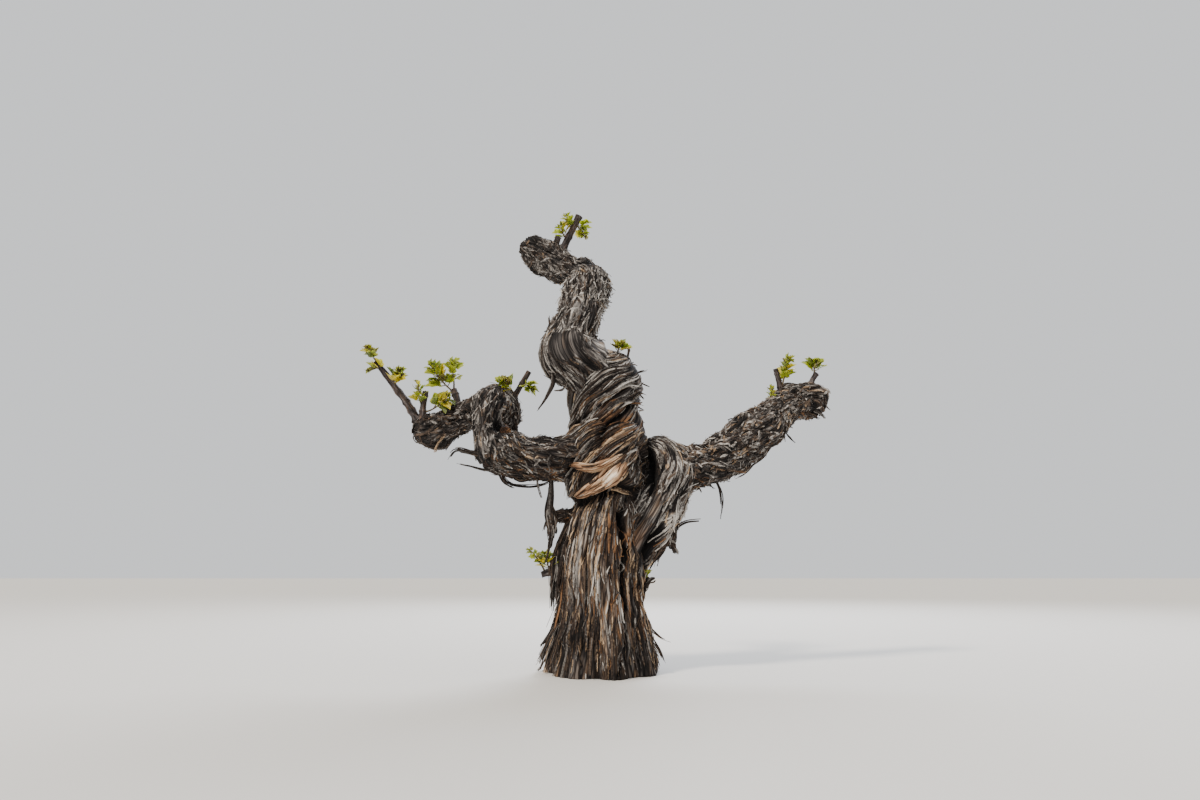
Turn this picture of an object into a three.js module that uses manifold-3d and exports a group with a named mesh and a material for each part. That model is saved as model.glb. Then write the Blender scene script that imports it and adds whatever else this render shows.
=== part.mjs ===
// An old bush-trained grapevine in early spring: a stout twisted trunk, crooked arms cut back to short
// spurs, loose strips of bark, and the first leafy shoots of the year.
// Millimetres, +Z up, seen from -Y. The origin is on the flat cut at ground level.
import * as THREE from "three";
import { mergeVertices } from "three/addons/utils/BufferGeometryUtils.js";
import Module from "manifold-3d";

const wasm = await Module();
wasm.setup();

// Driving sizes
const FOOT = 87; // trunk radius where it enters the ground
const ARM = 36; // usual radius of an arm
const SPUR = 7; // radius of last year's wood, cut back to a spur
const LIP = 14; // radius of a roll of bare wood
const STRIP = 3; // half width of a loose strip of bark
const SHOOT = 1.7; // radius of a green shoot at its foot
const LEAF = 25; // length of the largest young leaf
const CLEARANCE = 0.4; // air left between two solids that touch
const MERGE = 1e-3; // corners closer than this are one
const GROUND_CUT = 400; // side of the block that trims the trunk level with the ground
const FLARE = 1.2; // how much more the trunk's ridges stand out at its foot
const FLARE_REACH = 0.16; // share of the trunk over which that fades
const WIDE_PART = 0.65; // share of a limb's relief in its wide ridges, the rest in narrow ones
const EXTRA_FLUTES = 3; // how many more narrow ridges there are than wide ones
const WANDER = 5; // radians that the narrow ridges wander along a limb
const TAU = 2 * Math.PI;
const FRONT = new THREE.Vector3(0, -1, 0);
const LIGHT = new THREE.Vector3(0, -0.5, 0.87); // where the leaves turn their upper faces

// Finishes
const finish = (color, roughness) => new THREE.MeshStandardMaterial({ color, roughness, metalness: 0 });
const FINISHES = {
  bark: finish("#6b5d52", 0.95),
  wood: finish("#b98d62", 0.8),
  cane: finish("#4d3f38", 0.8),
  strip: finish("#3b322c", 0.95),
  leaf: finish("#a3ab2b", 0.6),
};

// Every limb is a tube through stations [x, y, z, radius as a share of the limb's size], from root to tip.
// flutes is how many ridges run along it, relief their height as a share of the radius, and turns how far
// they wind round the limb from root to tip.
const LIMBS = [
  {
    name: "trunk",
    size: FOOT,
    sides: 26, rings: 22,
    flutes: 7, relief: 0.07, turns: 0.06, dome: 0.4,
    stations: [
      [8, 0, -40, 1.04], [6, 0, 0, 0.96], [3, 0, 48, 0.87], [1, 0, 102, 0.76], [-2, 0, 155, 0.74],
      [2, 0, 212, 0.66], [8, 0, 262, 0.56], [7, -2, 300, 0.67], [9, -2, 340, 0.7],
      [13, 0, 380, 0.64], [14, 0, 404, 0.44],
    ],
  },
  {
    name: "right_stem",
    size: ARM,
    sides: 16, rings: 16,
    flutes: 5, relief: 0.09, turns: 0.2, dome: 0.4,
    stations: [
      [38, -2, 128, 0.4], [52, -4, 162, 0.55], [69, -5, 202, 0.82], [87, -4, 242, 1.06],
      [104, 0, 284, 1.18], [110, 5, 320, 1.1], [98, 8, 346, 0.84], [78, 8, 358, 0.5],
    ],
  },
  {
    name: "column_lower",
    size: ARM,
    sides: 18, rings: 14,
    flutes: 6, relief: 0.07, turns: 0.55, dome: 0.35,
    stations: [
      [14, 0, 352, 1.4], [10, 0, 394, 1.47], [6, -4, 428, 1.56], [10, -8, 458, 1.62],
      [18, -6, 486, 1.42], [22, -4, 508, 0.95],
    ],
  },
  {
    name: "column_middle",
    size: ARM,
    sides: 16, rings: 18,
    flutes: 5, relief: 0.07, turns: 0.3, dome: 0.35,
    stations: [
      [12, -10, 476, 1], [-20, -26, 488, 1.2], [-51, -36, 511, 1.38], [-54, -34, 542, 1.08],
      [-38, -27, 580, 0.98], [-30, -17, 618, 1.0], [-23, -8, 650, 1.03], [-20, -2, 672, 0.8],
    ],
  },
  {
    name: "column_top",
    size: ARM,
    sides: 14, rings: 14,
    flutes: 4, relief: 0.1, turns: 0.1, dome: 0.3,
    stations: [
      [-8, 0, 662, 0.62], [-32, 10, 675, 0.7], [-58, 22, 694, 0.72], [-87, 36, 717, 0.8],
      [-116, 49, 741, 0.8], [-140, 58, 760, 0.58],
    ],
  },
  {
    name: "left_arm",
    size: ARM,
    sides: 16, rings: 12,
    flutes: 5, relief: 0.08, turns: 0.15, dome: 0.4,
    stations: [
      [-12, -6, 338, 1.12], [-48, -14, 333, 1.06], [-84, -24, 331, 0.98], [-120, -33, 332, 0.94],
      [-150, -41, 337, 0.9], [-172, -47, 347, 0.7],
    ],
  },
  {
    name: "left_rise",
    size: ARM,
    sides: 14, rings: 10,
    flutes: 5, relief: 0.09, turns: 0.12, dome: 0.5,
    stations: [
      [-163, -45, 338, 0.8], [-178, -49, 364, 0.74], [-186, -49, 392, 0.66],
      [-186, -44, 418, 0.68], [-181, -36, 438, 0.6],
    ],
  },
  {
    name: "left_knob",
    size: ARM,
    sides: 14, rings: 10,
    flutes: 4, relief: 0.09, turns: 0.1, dome: 0.4,
    stations: [
      [-192, -36, 422, 0.5], [-181, -22, 438, 0.57], [-165, -8, 440, 0.58], [-155, 2, 424, 0.52],
      [-156, 6, 402, 0.36],
    ],
  },
  {
    name: "far_left_arm",
    size: ARM,
    sides: 14, rings: 12,
    flutes: 5, relief: 0.11, turns: 0.1, dome: 0.4,
    stations: [
      [-186, -26, 422, 0.62], [-212, -10, 416, 0.6], [-238, 2, 408, 0.6], [-262, 11, 398, 0.72],
      [-290, 18, 388, 0.82], [-312, 24, 390, 0.62],
    ],
  },
  {
    name: "right_arm",
    size: ARM,
    sides: 16, rings: 20,
    flutes: 5, relief: 0.09, turns: 0.2, dome: 0.2,
    stations: [
      [112, 8, 316, 0.86], [150, 14, 321, 0.9], [188, 24, 332, 0.94], [224, 36, 354, 1.04],
      [260, 48, 381, 1.08], [296, 60, 406, 1], [332, 72, 439, 0.86], [366, 82, 459, 0.9],
      [394, 89, 460, 0.94], [409, 93, 455, 0.74],
    ],
  },
];

// Rolls of bare wood on the front of the head, where the bark has gone.
const LIPS = [
  {
    name: "wood_lip",
    stations: [
      [-32, -46, 268, 0.5], [-13, -56, 282, 1], [6, -61, 291, 1.15], [26, -58, 302, 1],
      [44, -48, 318, 0.5],
    ],
  },
  {
    name: "wood_fold",
    stations: [
      [-50, -38, 312, 0.4], [-25, -56, 305, 0.75], [-3, -63, 311, 0.85], [19, -62, 320, 0.8],
      [38, -52, 332, 0.4],
    ],
  },
];

// Short lengths of older wood, each cut off square: spurs, one long cane and dead stubs.
const SPURS = [
  {
    name: "top_spur",
    stations: [[-76, 30, 718, 1.25], [-66, 28, 750, 1.1], [-51, 25, 782, 1], [-40, 22, 806, 1.2]],
  },
  { name: "top_stub", stations: [[-92, 28, 726, 1.1], [-84, 24, 746, 1], [-79, 21, 762, 0.95]] },
  { name: "knuckle_twig", stations: [[42, -6, 488, 0.5], [48, -8, 513, 0.35], [51, -8, 530, 0.25]] },
  {
    name: "long_cane",
    stations: [[-310, 20, 394, 1.5], [-330, 19, 426, 1.3], [-352, 15, 456, 1], [-395, 4, 510, 0.75]],
  },
  { name: "short_spur", stations: [[-307, 12, 402, 1.3], [-307, 8, 428, 0.9], [-303, 2, 455, 0.85]] },
  { name: "back_spur", stations: [[-243, 6, 404, 1.2], [-249, 12, 440, 0.95], [-258, 16, 462, 0.95]] },
  { name: "knob_spur", stations: [[-158, -6, 428, 1], [-141, -5, 456, 0.75], [-123, -8, 488, 0.7]] },
  { name: "near_spur", stations: [[338, 72, 458, 1.1], [330, 67, 492, 0.8], [324, 63, 515, 0.75]] },
  { name: "tip_spur", stations: [[386, 88, 474, 1.1], [398, 91, 498, 0.85], [409, 94, 515, 0.8]] },
  {
    name: "left_dead_stub",
    stations: [[-40, -10, 242, 1.6], [-58, -16, 240, 1.5], [-75, -22, 238, 1.3]],
  },
  {
    name: "left_sucker_stub",
    stations: [[-58, -10, 156, 1.1], [-78, -14, 152, 0.9], [-93, -16, 147, 0.7]],
  },
  { name: "right_sucker_stub", stations: [[50, 2, 116, 1.3], [68, 4, 128, 1.1], [80, 5, 142, 0.8]] },
];

// Long loose strips of bark that hang clear of the wood.
const STRIPS = [
  {
    name: "strip_strap",
    stations: [
      [-80, -22, 305, 1.6], [-80, -27, 272, 1.5], [-81, -30, 240, 2.6], [-77, -30, 212, 2.4],
      [-80, -30, 188, 0.8],
    ],
  },
  {
    name: "strip_column",
    stations: [[-80, -44, 484, 0.6], [-80, -48, 456, 1.4], [-92, -49, 426, 1], [-103, -50, 407, 0.4]],
  },
  {
    name: "strip_left_end",
    stations: [
      [-168, -52, 330, 1.4], [-204, -56, 336, 1.3], [-232, -58, 341, 1.2], [-244, -60, 325, 0.6],
    ],
  },
  {
    name: "strip_left_under",
    stations: [
      [-166, -40, 318, 1.2], [-150, -36, 292, 1.1], [-120, -32, 286, 1], [-92, -28, 290, 1.1],
      [-66, -24, 304, 1.3],
    ],
  },
  {
    name: "strip_right_hang",
    stations: [[192, 26, 314, 1.3], [204, 24, 288, 1], [206, 22, 261, 0.9], [201, 22, 238, 1.1]],
  },
  {
    name: "strip_tendril",
    stations: [
      [80, -8, 180, 1.3], [104, -11, 193, 1.4], [117, -13, 198, 1.9], [122, -15, 218, 1.1],
      [138, -16, 229, 0.8], [164, -18, 233, 0.6],
    ],
  },
  {
    name: "strip_trunk_left",
    stations: [[-48, -14, 222, 1.6], [-66, -18, 186, 2.6], [-75, -20, 150, 2.2], [-77, -20, 96, 0.8]],
  },
];

// Leafy shoots. Each grows from a share along the wood it stands on to its tip, sagging by a share of its
// length or, below zero, arching up.
const SHOOTS = [
  {
    name: "shoot_top_left", on: "top_spur", at: 0.42, tip: [-74, 18, 782],
    sag: 0.1, leaves: 6, scale: 0.8, seed: 11,
  },
  {
    name: "shoot_top_high", on: "top_spur", at: 0.62, tip: [-62, 16, 800],
    sag: 0.1, leaves: 5, scale: 0.8, seed: 31,
  },
  {
    name: "shoot_top_right", on: "top_spur", at: 0.7, tip: [-30, 12, 760],
    sag: -0.25, leaves: 9, scale: 0.9, seed: 12,
  },
  {
    name: "shoot_knuckle", on: "column_lower", at: 0.93, tip: [31, -14, 522],
    sag: 0, leaves: 9, scale: 0.9, seed: 13,
  },
  {
    name: "shoot_cane_tip", on: "long_cane", at: 0.97, tip: [-408, 0, 532],
    sag: 0, leaves: 8, scale: 0.95, seed: 14,
  },
  {
    name: "shoot_cane_left", on: "long_cane", at: 0.86, tip: [-402, 2, 493],
    sag: -0.3, leaves: 6, scale: 0.85, seed: 15,
  },
  {
    name: "shoot_cane_right", on: "long_cane", at: 0.75, tip: [-354, 4, 490],
    sag: 0.2, leaves: 9, scale: 1.15, seed: 16,
  },
  {
    name: "shoot_short_left", on: "short_spur", at: 0.4, tip: [-317, 0, 468],
    sag: 0.1, leaves: 7, scale: 0.8, seed: 17,
  },
  {
    name: "shoot_short_right", on: "short_spur", at: 0.35, tip: [-262, -10, 440],
    sag: 0.1, leaves: 9, scale: 1.2, seed: 18,
  },
  {
    name: "shoot_back_left", on: "back_spur", at: 0.8, tip: [-296, 4, 500],
    sag: 0.05, leaves: 12, scale: 1.1, seed: 19,
  },
  {
    name: "shoot_back_right", on: "back_spur", at: 0.97, tip: [-264, 26, 514],
    sag: -0.1, leaves: 9, scale: 0.95, seed: 20,
  },
  {
    name: "shoot_knob_left", on: "knob_spur", at: 0.3, tip: [-168, -22, 466],
    sag: -0.2, leaves: 10, scale: 1, seed: 21,
  },
  {
    name: "shoot_knob_right", on: "knob_spur", at: 0.6, tip: [-118, -18, 454],
    sag: -0.2, leaves: 8, scale: 0.95, seed: 22,
  },
  {
    name: "shoot_near_high", on: "near_spur", at: 0.3, tip: [347, 58, 530],
    sag: 0.1, leaves: 12, scale: 1, seed: 23,
  },
  {
    name: "shoot_near_low", on: "right_arm", at: 0.6, tip: [312, 52, 474],
    sag: 0, leaves: 10, scale: 0.7, seed: 24,
  },
  {
    name: "shoot_tip", on: "tip_spur", at: 0.85, tip: [406, 86, 534],
    sag: 0, leaves: 9, scale: 1.05, seed: 25,
  },
  {
    name: "shoot_left_sucker", on: "left_sucker_stub", at: 0.55, tip: [-86, -20, 178],
    sag: 0.1, leaves: 9, scale: 0.9, seed: 26,
  },
  {
    name: "shoot_right_sucker", on: "right_sucker_stub", at: 0.5, tip: [68, -10, 152],
    sag: 0, leaves: 7, scale: 0.75, seed: 27,
  },
];

// Half the outline of a young leaf blade, [across, along] as shares of its length, from petiole to tip.
const HALF_BLADE = [[0.46, -0.08], [0.5, 0.5]];
const BLADE_MIDDLE = 0.34; // where its highest point stands
const BLADE_THICKNESS = 0.03;
const BLADE_CUP = 0.48; // how strongly its sides lift
const BLADE_DROOP = 0.1; // how strongly its tip hangs
const PETIOLE = 0.5; // length of the petiole
const PETIOLE_RADIUS = 0.04;
const PETIOLE_ROOT = 0.15; // how far the petiole runs on into the blade

// How leaves stand along a shoot, as shares of its length and in radians.
const FIRST_LEAF = 0.3;
const LEAF_AT_FOOT = 1.05; // length of a leaf at the shoot's foot, as a share of the largest
const LEAF_LOSS = 0.6; // how much of that is lost by the tip
const LEAF_LUCK = 0.3; // how much one leaf differs from the next
const LEAF_TURN = 1.6; // how far a leaf strays round the stem from its side
const LEAF_ROLL = 1.4; // how far a blade rolls from the light
const LEAN = { foot: 0.2, gain: 0.6, luck: 0.3 }; // how far a leaf leans towards the tip

// A seeded generator of numbers from 0 to 1, the same on every run.
function seeded(seed) {
  const range = 2 ** 32;
  let state = (seed * 7919) % range;
  return () => {
    state = (state * 1664525 + 1013904223) % range;
    return state / range;
  };
}

// A smooth curve through rows of numbers: Catmull-Rom, with the end rows mirrored past the ends.
function through(rows, share) {
  const last = rows.length - 1;
  const place = Math.min(Math.max(share, 0), 1) * last;
  const i = Math.min(Math.floor(place), last - 1);
  const f = place - i;
  const row = (k) => {
    if (k < 0) return rows[0].map((v, n) => 2 * v - rows[1][n]);
    if (k > last) return rows[last].map((v, n) => 2 * v - rows[last - 1][n]);
    return rows[k];
  };
  const [a, b, c, d] = [row(i - 1), row(i), row(i + 1), row(i + 2)];
  return b.map((v, n) => {
    const slope = c[n] - a[n];
    const curve = 2 * a[n] - 5 * v + 4 * c[n] - d[n];
    const twist = 3 * v - a[n] - 3 * c[n] + d[n];
    return v + 0.5 * (slope * f + curve * f ** 2 + twist * f ** 3);
  });
}

// Frames along a limb: middle, direction, and two crosswise directions carried along without twist.
function framesOf(stations, count) {
  const middle = (share) => new THREE.Vector3(...through(stations, share).slice(0, 3));
  const frames = [];
  let front = FRONT.clone();
  for (let i = 0; i <= count; i++) {
    const share = i / count;
    const step = 0.5 / count;
    const along = middle(Math.min(share + step, 1)).sub(middle(Math.max(share - step, 0))).normalize();
    front = front.clone().addScaledVector(along, -front.dot(along)).normalize();
    const across = new THREE.Vector3().crossVectors(along, front);
    frames.push({ at: middle(share), along, front, across, radius: through(stations, share)[3] });
  }
  return frames;
}

// How far the ridges lift the bark at an angle round the limb: two sets of waves that wind with the limb.
function ridges(limb, angle, share) {
  const wound = angle - limb.turns * TAU * share;
  const start = limb.name.length;
  const wide = Math.cos(limb.flutes * wound + start);
  const narrow = Math.cos((limb.flutes + EXTRA_FLUTES) * wound + 2 * start + WANDER * share);
  const foot = limb.name === "trunk" ? 1 + FLARE * Math.exp(-share / FLARE_REACH) : 1;
  return 1 + limb.relief * foot * (WIDE_PART * wide + (1 - WIDE_PART) * narrow);
}

// A limb's skin: a cylinder whose rings are carried along the limb's frames. grow widens and lengthens it.
function tube(limb, grow = 0) {
  const { stations, sides, rings, dome = 0 } = limb;
  const frames = framesOf(stations, rings);
  const shape = new THREE.CylinderGeometry(1, 1, 1, sides, rings);
  const spots = shape.getAttribute("position");
  const spot = new THREE.Vector3();
  for (let i = 0; i < spots.count; i++) {
    spot.fromBufferAttribute(spots, i);
    const share = spot.y + 0.5;
    const { at, along, front, across, radius } = frames[Math.round(share * rings)];
    const rim = Math.hypot(spot.x, spot.z) > 0.5;
    const angle = Math.atan2(spot.x, spot.z);
    const wide = radius * limb.size;
    const out = rim ? wide * (limb.relief ? ridges(limb, angle, share) : 1) + grow : 0;
    const end = (share > 1 - 0.1 / rings ? 1 : 0) - (share < 0.1 / rings ? 1 : 0);
    const push = end * grow + (rim || end < 1 ? 0 : dome * wide);
    spot.copy(at).addScaledVector(along, push);
    spot.addScaledVector(front, out * Math.cos(angle)).addScaledVector(across, out * Math.sin(angle));
    spots.setXYZ(i, spot.x, spot.y, spot.z);
  }
  return solid(shape);
}

// A closed geometry as a solid that can be joined and cut.
function solid(geometry) {
  geometry.deleteAttribute("normal");
  geometry.deleteAttribute("uv");
  const merged = mergeVertices(geometry, MERGE);
  const vertProperties = merged.getAttribute("position").array;
  const faces = new Uint32Array(merged.index.array);
  const make = () => new wasm.Manifold(new wasm.Mesh({ numProp: 3, vertProperties, triVerts: faces }));
  const made = make();
  if (made.volume() > 0) return made;
  faces.reverse();
  return make();
}

// The largest body of a solid: loose scraps left by a cut are dropped.
function largest(cut) {
  return cut.decompose().reduce((best, body) => (body.volume() > best.volume() ? body : best));
}

function boxesMeet(a, b) {
  const [p, q] = [a.boundingBox(), b.boundingBox()];
  return [0, 1, 2].every((k) => p.min[k] <= q.max[k] && q.min[k] <= p.max[k]);
}

const group = new THREE.Group();
const placed = []; // a slightly grown copy of each solid so far, which cuts the seat of what meets it

function seat(made) {
  const near = placed.filter((other) => boxesMeet(made, other));
  return largest(near.reduce((rest, other) => rest.subtract(other), made));
}

function place(name, made, grown, material) {
  placed.push(grown);
  const mesh = made.getMesh();
  const geometry = new THREE.BufferGeometry();
  geometry.setAttribute("position", new THREE.BufferAttribute(new Float32Array(mesh.vertProperties), 3));
  geometry.setIndex(new THREE.BufferAttribute(new Uint32Array(mesh.triVerts), 1));
  geometry.computeVertexNormals();
  const node = new THREE.Mesh(geometry, material);
  node.name = name;
  group.add(node);
}

function addLimb(limb, material) {
  let made = tube(limb);
  if (limb.name === "trunk") {
    const below = new THREE.BoxGeometry(GROUND_CUT, GROUND_CUT, GROUND_CUT).translate(0, 0, -GROUND_CUT / 2);
    made = made.subtract(solid(below));
  }
  place(limb.name, seat(made), tube(limb, CLEARANCE), material);
}

// A leaf blade: a lobed rim round two points, one above and one below its middle, cupped at the edges.
function blade(length) {
  const thickness = BLADE_THICKNESS * length;
  const left = HALF_BLADE.map(([x, y]) => [-x, y]).reverse();
  const outline = [[0, 0], ...HALF_BLADE, [0, 1], ...left];
  const corners = outline.map(([x, y]) => {
    const lift = BLADE_CUP * x ** 2 - BLADE_DROOP * y ** 2;
    return [x * length, y * length, lift * length];
  });
  const middle = [[0, BLADE_MIDDLE * length, thickness], [0, BLADE_MIDDLE * length, -thickness]];
  const count = corners.length;
  const faces = corners.flatMap((_, i) => {
    const next = (i + 1) % count;
    return [i, next, count, next, i, count + 1];
  });
  const shape = new THREE.BufferGeometry();
  shape.setAttribute("position", new THREE.Float32BufferAttribute([...corners, ...middle].flat(), 3));
  shape.setIndex(faces);
  return shape;
}

// One leaf in two solids: a thin petiole from a node of the shoot, and the blade on its end.
function leaf(from, heading, length, roll) {
  const end = from.clone().addScaledVector(heading, PETIOLE * length);
  const inside = end.clone().addScaledVector(heading, PETIOLE_ROOT * length);
  const stations = [[...from.toArray(), 1], [...inside.toArray(), 1]];
  const petiole = tube({ size: PETIOLE_RADIUS * length, sides: 3, rings: 1, relief: 0, stations });
  const face = LIGHT.clone().addScaledVector(heading, -heading.dot(LIGHT)).normalize();
  face.applyAxisAngle(heading, roll);
  const side = new THREE.Vector3().crossVectors(heading, face);
  const turned = new THREE.Matrix4().makeBasis(side, heading, face).setPosition(end);
  return [petiole, solid(blade(length).applyMatrix4(turned))];
}

// A leafy shoot: a bending stem with leaves on alternate sides, small towards the tip. A leaf that would
// touch wood, another shoot or another leaf is left out.
function addShoot(spec) {
  const random = seeded(spec.seed);
  const host = [...LIMBS, ...SPURS].find((limb) => limb.name === spec.on);
  const [x, y, z] = through(host.stations, spec.at);
  const from = new THREE.Vector3(x, y, z);
  const reach = new THREE.Vector3(...spec.tip).sub(from);
  const heading = reach.clone().normalize();
  const middle = (share) => {
    const straight = from.clone().addScaledVector(reach, share);
    return straight.setZ(straight.z - 4 * share * (1 - share) * spec.sag * reach.length());
  };
  const stations = [0, 0.5, 1].map((share) => [...middle(share).toArray(), 1 - 0.5 * share]);
  let made = tube({ size: SHOOT, sides: 5, rings: 4, relief: 0, dome: 0.5, stations });
  const level = new THREE.Vector3().crossVectors(heading, new THREE.Vector3(0, 1, 0)).normalize();
  const spin = random() * TAU;
  for (let i = 0; i < spec.leaves; i++) {
    const share = FIRST_LEAF + ((1 - FIRST_LEAF) * (i + 0.5)) / spec.leaves;
    const luck = 1 + LEAF_LUCK * (random() - 0.5);
    const length = LEAF * spec.scale * (LEAF_AT_FOOT - LEAF_LOSS * share) * luck;
    const turn = spin + Math.PI * i + LEAF_TURN * (random() - 0.5);
    const lean = LEAN.foot + LEAN.gain * share + LEAN.luck * random();
    const aim = level.clone().applyAxisAngle(heading, turn).addScaledVector(heading, lean).normalize();
    const [petiole, sheet] = leaf(middle(share), aim, length, LEAF_ROLL * (random() - 0.5));
    const one = petiole.add(sheet);
    const touches = placed.some((other) => boxesMeet(one, other) && one.intersect(other).volume() > 0);
    if (!touches && sheet.intersect(made).volume() === 0) made = made.add(one);
  }
  const whole = seat(made);
  place(spec.name, whole, whole, FINISHES.leaf);
}

const spurShape = { size: SPUR, sides: 8, rings: 5, flutes: 3, relief: 0.06, turns: 0, dome: 0.1 };
const stripShape = { size: STRIP, sides: 4, rings: 7, relief: 0, dome: 0 };
const lipShape = { size: LIP, sides: 8, rings: 8, flutes: 3, relief: 0.12, turns: 0, dome: 0.2 };

LIMBS.forEach((limb) => addLimb(limb, FINISHES.bark));
LIPS.forEach((lip) => addLimb({ ...lipShape, ...lip }, FINISHES.wood));
SPURS.forEach((spur) => addLimb({ ...spurShape, ...spur }, FINISHES.cane));
STRIPS.forEach((strip) => addLimb({ ...stripShape, ...strip }, FINISHES.strip));
SHOOTS.forEach(addShoot);

export default group;
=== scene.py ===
# %% [markdown]
# An old grapevine, pruned as a low bush, in the first week of spring. The real plant is a stout trunk
# that has twisted for decades, a few crooked arms cut back each winter to short spurs, bark that peels
# off in long fibrous strips, and a handful of new leaves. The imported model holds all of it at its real
# size. This lesson puts the finish on top: relief in the bark, loose strips, bare wood, and leaves with
# lobes. Everything is worked out with numpy as surfaces of two parameters, because bark is far too
# irregular to draw by hand and far too regular in its grain to scatter at random.

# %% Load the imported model
import math

import bpy
import numpy as np
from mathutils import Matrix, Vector


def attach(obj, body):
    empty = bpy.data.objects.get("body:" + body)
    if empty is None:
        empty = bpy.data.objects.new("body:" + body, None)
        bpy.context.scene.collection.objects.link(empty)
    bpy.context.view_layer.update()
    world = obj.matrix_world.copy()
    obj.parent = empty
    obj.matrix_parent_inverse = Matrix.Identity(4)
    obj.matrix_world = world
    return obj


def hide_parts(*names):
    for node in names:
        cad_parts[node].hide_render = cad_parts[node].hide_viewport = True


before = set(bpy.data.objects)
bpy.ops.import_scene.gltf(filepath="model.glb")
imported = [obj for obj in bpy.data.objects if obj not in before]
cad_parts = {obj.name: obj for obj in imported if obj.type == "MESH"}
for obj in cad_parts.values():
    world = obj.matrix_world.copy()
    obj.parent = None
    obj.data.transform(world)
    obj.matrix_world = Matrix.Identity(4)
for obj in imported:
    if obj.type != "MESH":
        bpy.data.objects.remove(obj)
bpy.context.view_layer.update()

# %% [markdown]
# The camera comes first. A low viewpoint close to the trunk and a wide lens make the short plant look
# tall. A wide lens can't be copied by moving a long one, because nearness is what makes the trunk look
# stout and the arms small, so the lens and the distance are both kept.

# %% Camera
LENS = 20                               # millimetres
SENSOR = 36                             # width in millimetres of the sensor behind that lens
EYE = Vector((0, -1.1149, 0.1465))      # metres from the middle of the trunk's foot
TILT = 14.708                           # degrees that the camera looks up

camera = bpy.data.objects.new("camera", bpy.data.cameras.new("camera"))
bpy.context.scene.collection.objects.link(camera)
camera.data.lens = LENS
camera.data.sensor_width = SENSOR
camera.data.clip_start = 0.01
camera.location = EYE
camera.rotation_euler = (math.radians(90 + TILT), 0, 0)
bpy.context.scene.camera = camera
print("camera", tuple(round(v, 3) for v in camera.location), "looks up", TILT, "degrees")

# %% [markdown]
# A few sizes drive the whole plant. A limb's thickness is given as shares of the size of its kind, so
# one number makes all the arms or all the spurs stouter. The directions up and to the front are needed
# wherever weight, light or the viewer's side matters.

# %% Driving sizes
MM = 0.001
TAU = 2 * math.pi
IN_RADIAN = 57.3            # degrees in a radian
FOOT = 87                   # radius of the trunk's foot in millimetres
ARM = 36                    # radius of a stout arm
LIP = 14                    # radius of a fold of bare wood
SPUR = 7                    # radius of a spur
STRIP = 3                   # radius of a loose strip
SHOOT = 1.7                 # radius of a young shoot at its foot
LEAF = 25                   # length of the largest leaf
UP = np.array([0.0, 0.0, 1.0])
FRONT = np.array([0.0, -1.0, 0.0])
print("radii in mm, from the foot to a shoot:", FOOT, ARM, LIP, SPUR, STRIP, SHOOT)


# %% Directions and curves
def unit(vectors):
    """Each vector divided by its own length."""
    return vectors / np.maximum(np.linalg.norm(vectors, axis=-1, keepdims=True), 1e-12)


def ease(t):
    """Runs from 0 to 1 with a soft start and end: 3t² - 2t³."""
    t = np.clip(t, 0, 1)
    return t * t * (3 - 2 * t)


def through(rows, share):
    """A smooth curve through rows of numbers at shares from 0 to 1: Catmull-Rom, ends mirrored."""
    rows = np.asarray(rows, float)
    last = len(rows) - 1
    padded = np.vstack([2 * rows[0] - rows[1], rows, 2 * rows[-1] - rows[-2]])
    place = np.clip(share, 0, 1) * last
    i = np.minimum(place.astype(int), last - 1)
    f = (place - i)[..., None]
    a, b, c, d = (padded[i + k] for k in range(4))
    return b + 0.5 * ((c - a) * f + (2 * a - 5 * b + 4 * c - d) * f**2 + (3 * b - a - 3 * c + d) * f**3)


print("a quarter of the way through 0, 1 and 4:", through([[0], [1], [4]], np.array(0.25)))

# %% [markdown]
# Every limb is a tube through a few stations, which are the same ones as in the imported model: x, y, z in
# millimetres and the radius as a share of the limb's size. A Catmull-Rom curve passes through each
# station without overshooting much, which suits a limb whose thickness was measured at those places.


# %% The middle line of a limb
def spine(stations, size, samples=240):
    """Middle line, radius and frames of a limb. The front direction starts at -Y and is carried along
    by taking away its part along the limb, so the frames don't spin."""
    share = np.linspace(0, 1, samples)
    rows = through(stations, share)
    middle = rows[:, :3] * MM
    along = unit(np.gradient(middle, axis=0))
    front = np.empty_like(along)
    carried = FRONT
    for i, direction in enumerate(along):
        carried = unit(carried - (carried @ direction) * direction)
        front[i] = carried
    steps = np.linalg.norm(np.diff(middle, axis=0), axis=1)
    run = np.concatenate([[0], np.cumsum(steps)]) / MM
    return {
        "share": share, "middle": middle, "along": along, "front": front,
        "across": np.cross(along, front), "radius": rows[:, 3] * size * MM, "run": run,
    }


def pick(line, key, share):
    """One of a spine's rows at any share, read off in straight steps between its samples."""
    values = line[key]
    if values.ndim == 1:
        return np.interp(share, line["share"], values)
    return np.stack([np.interp(share, line["share"], column) for column in values.T], axis=-1)


rod = spine([[0, 0, 0, 1], [0, 0, 100, 1]], SPUR)
print("a rod between stations 100 mm apart measures", rod["run"][-1].round(1), "mm")

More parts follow.
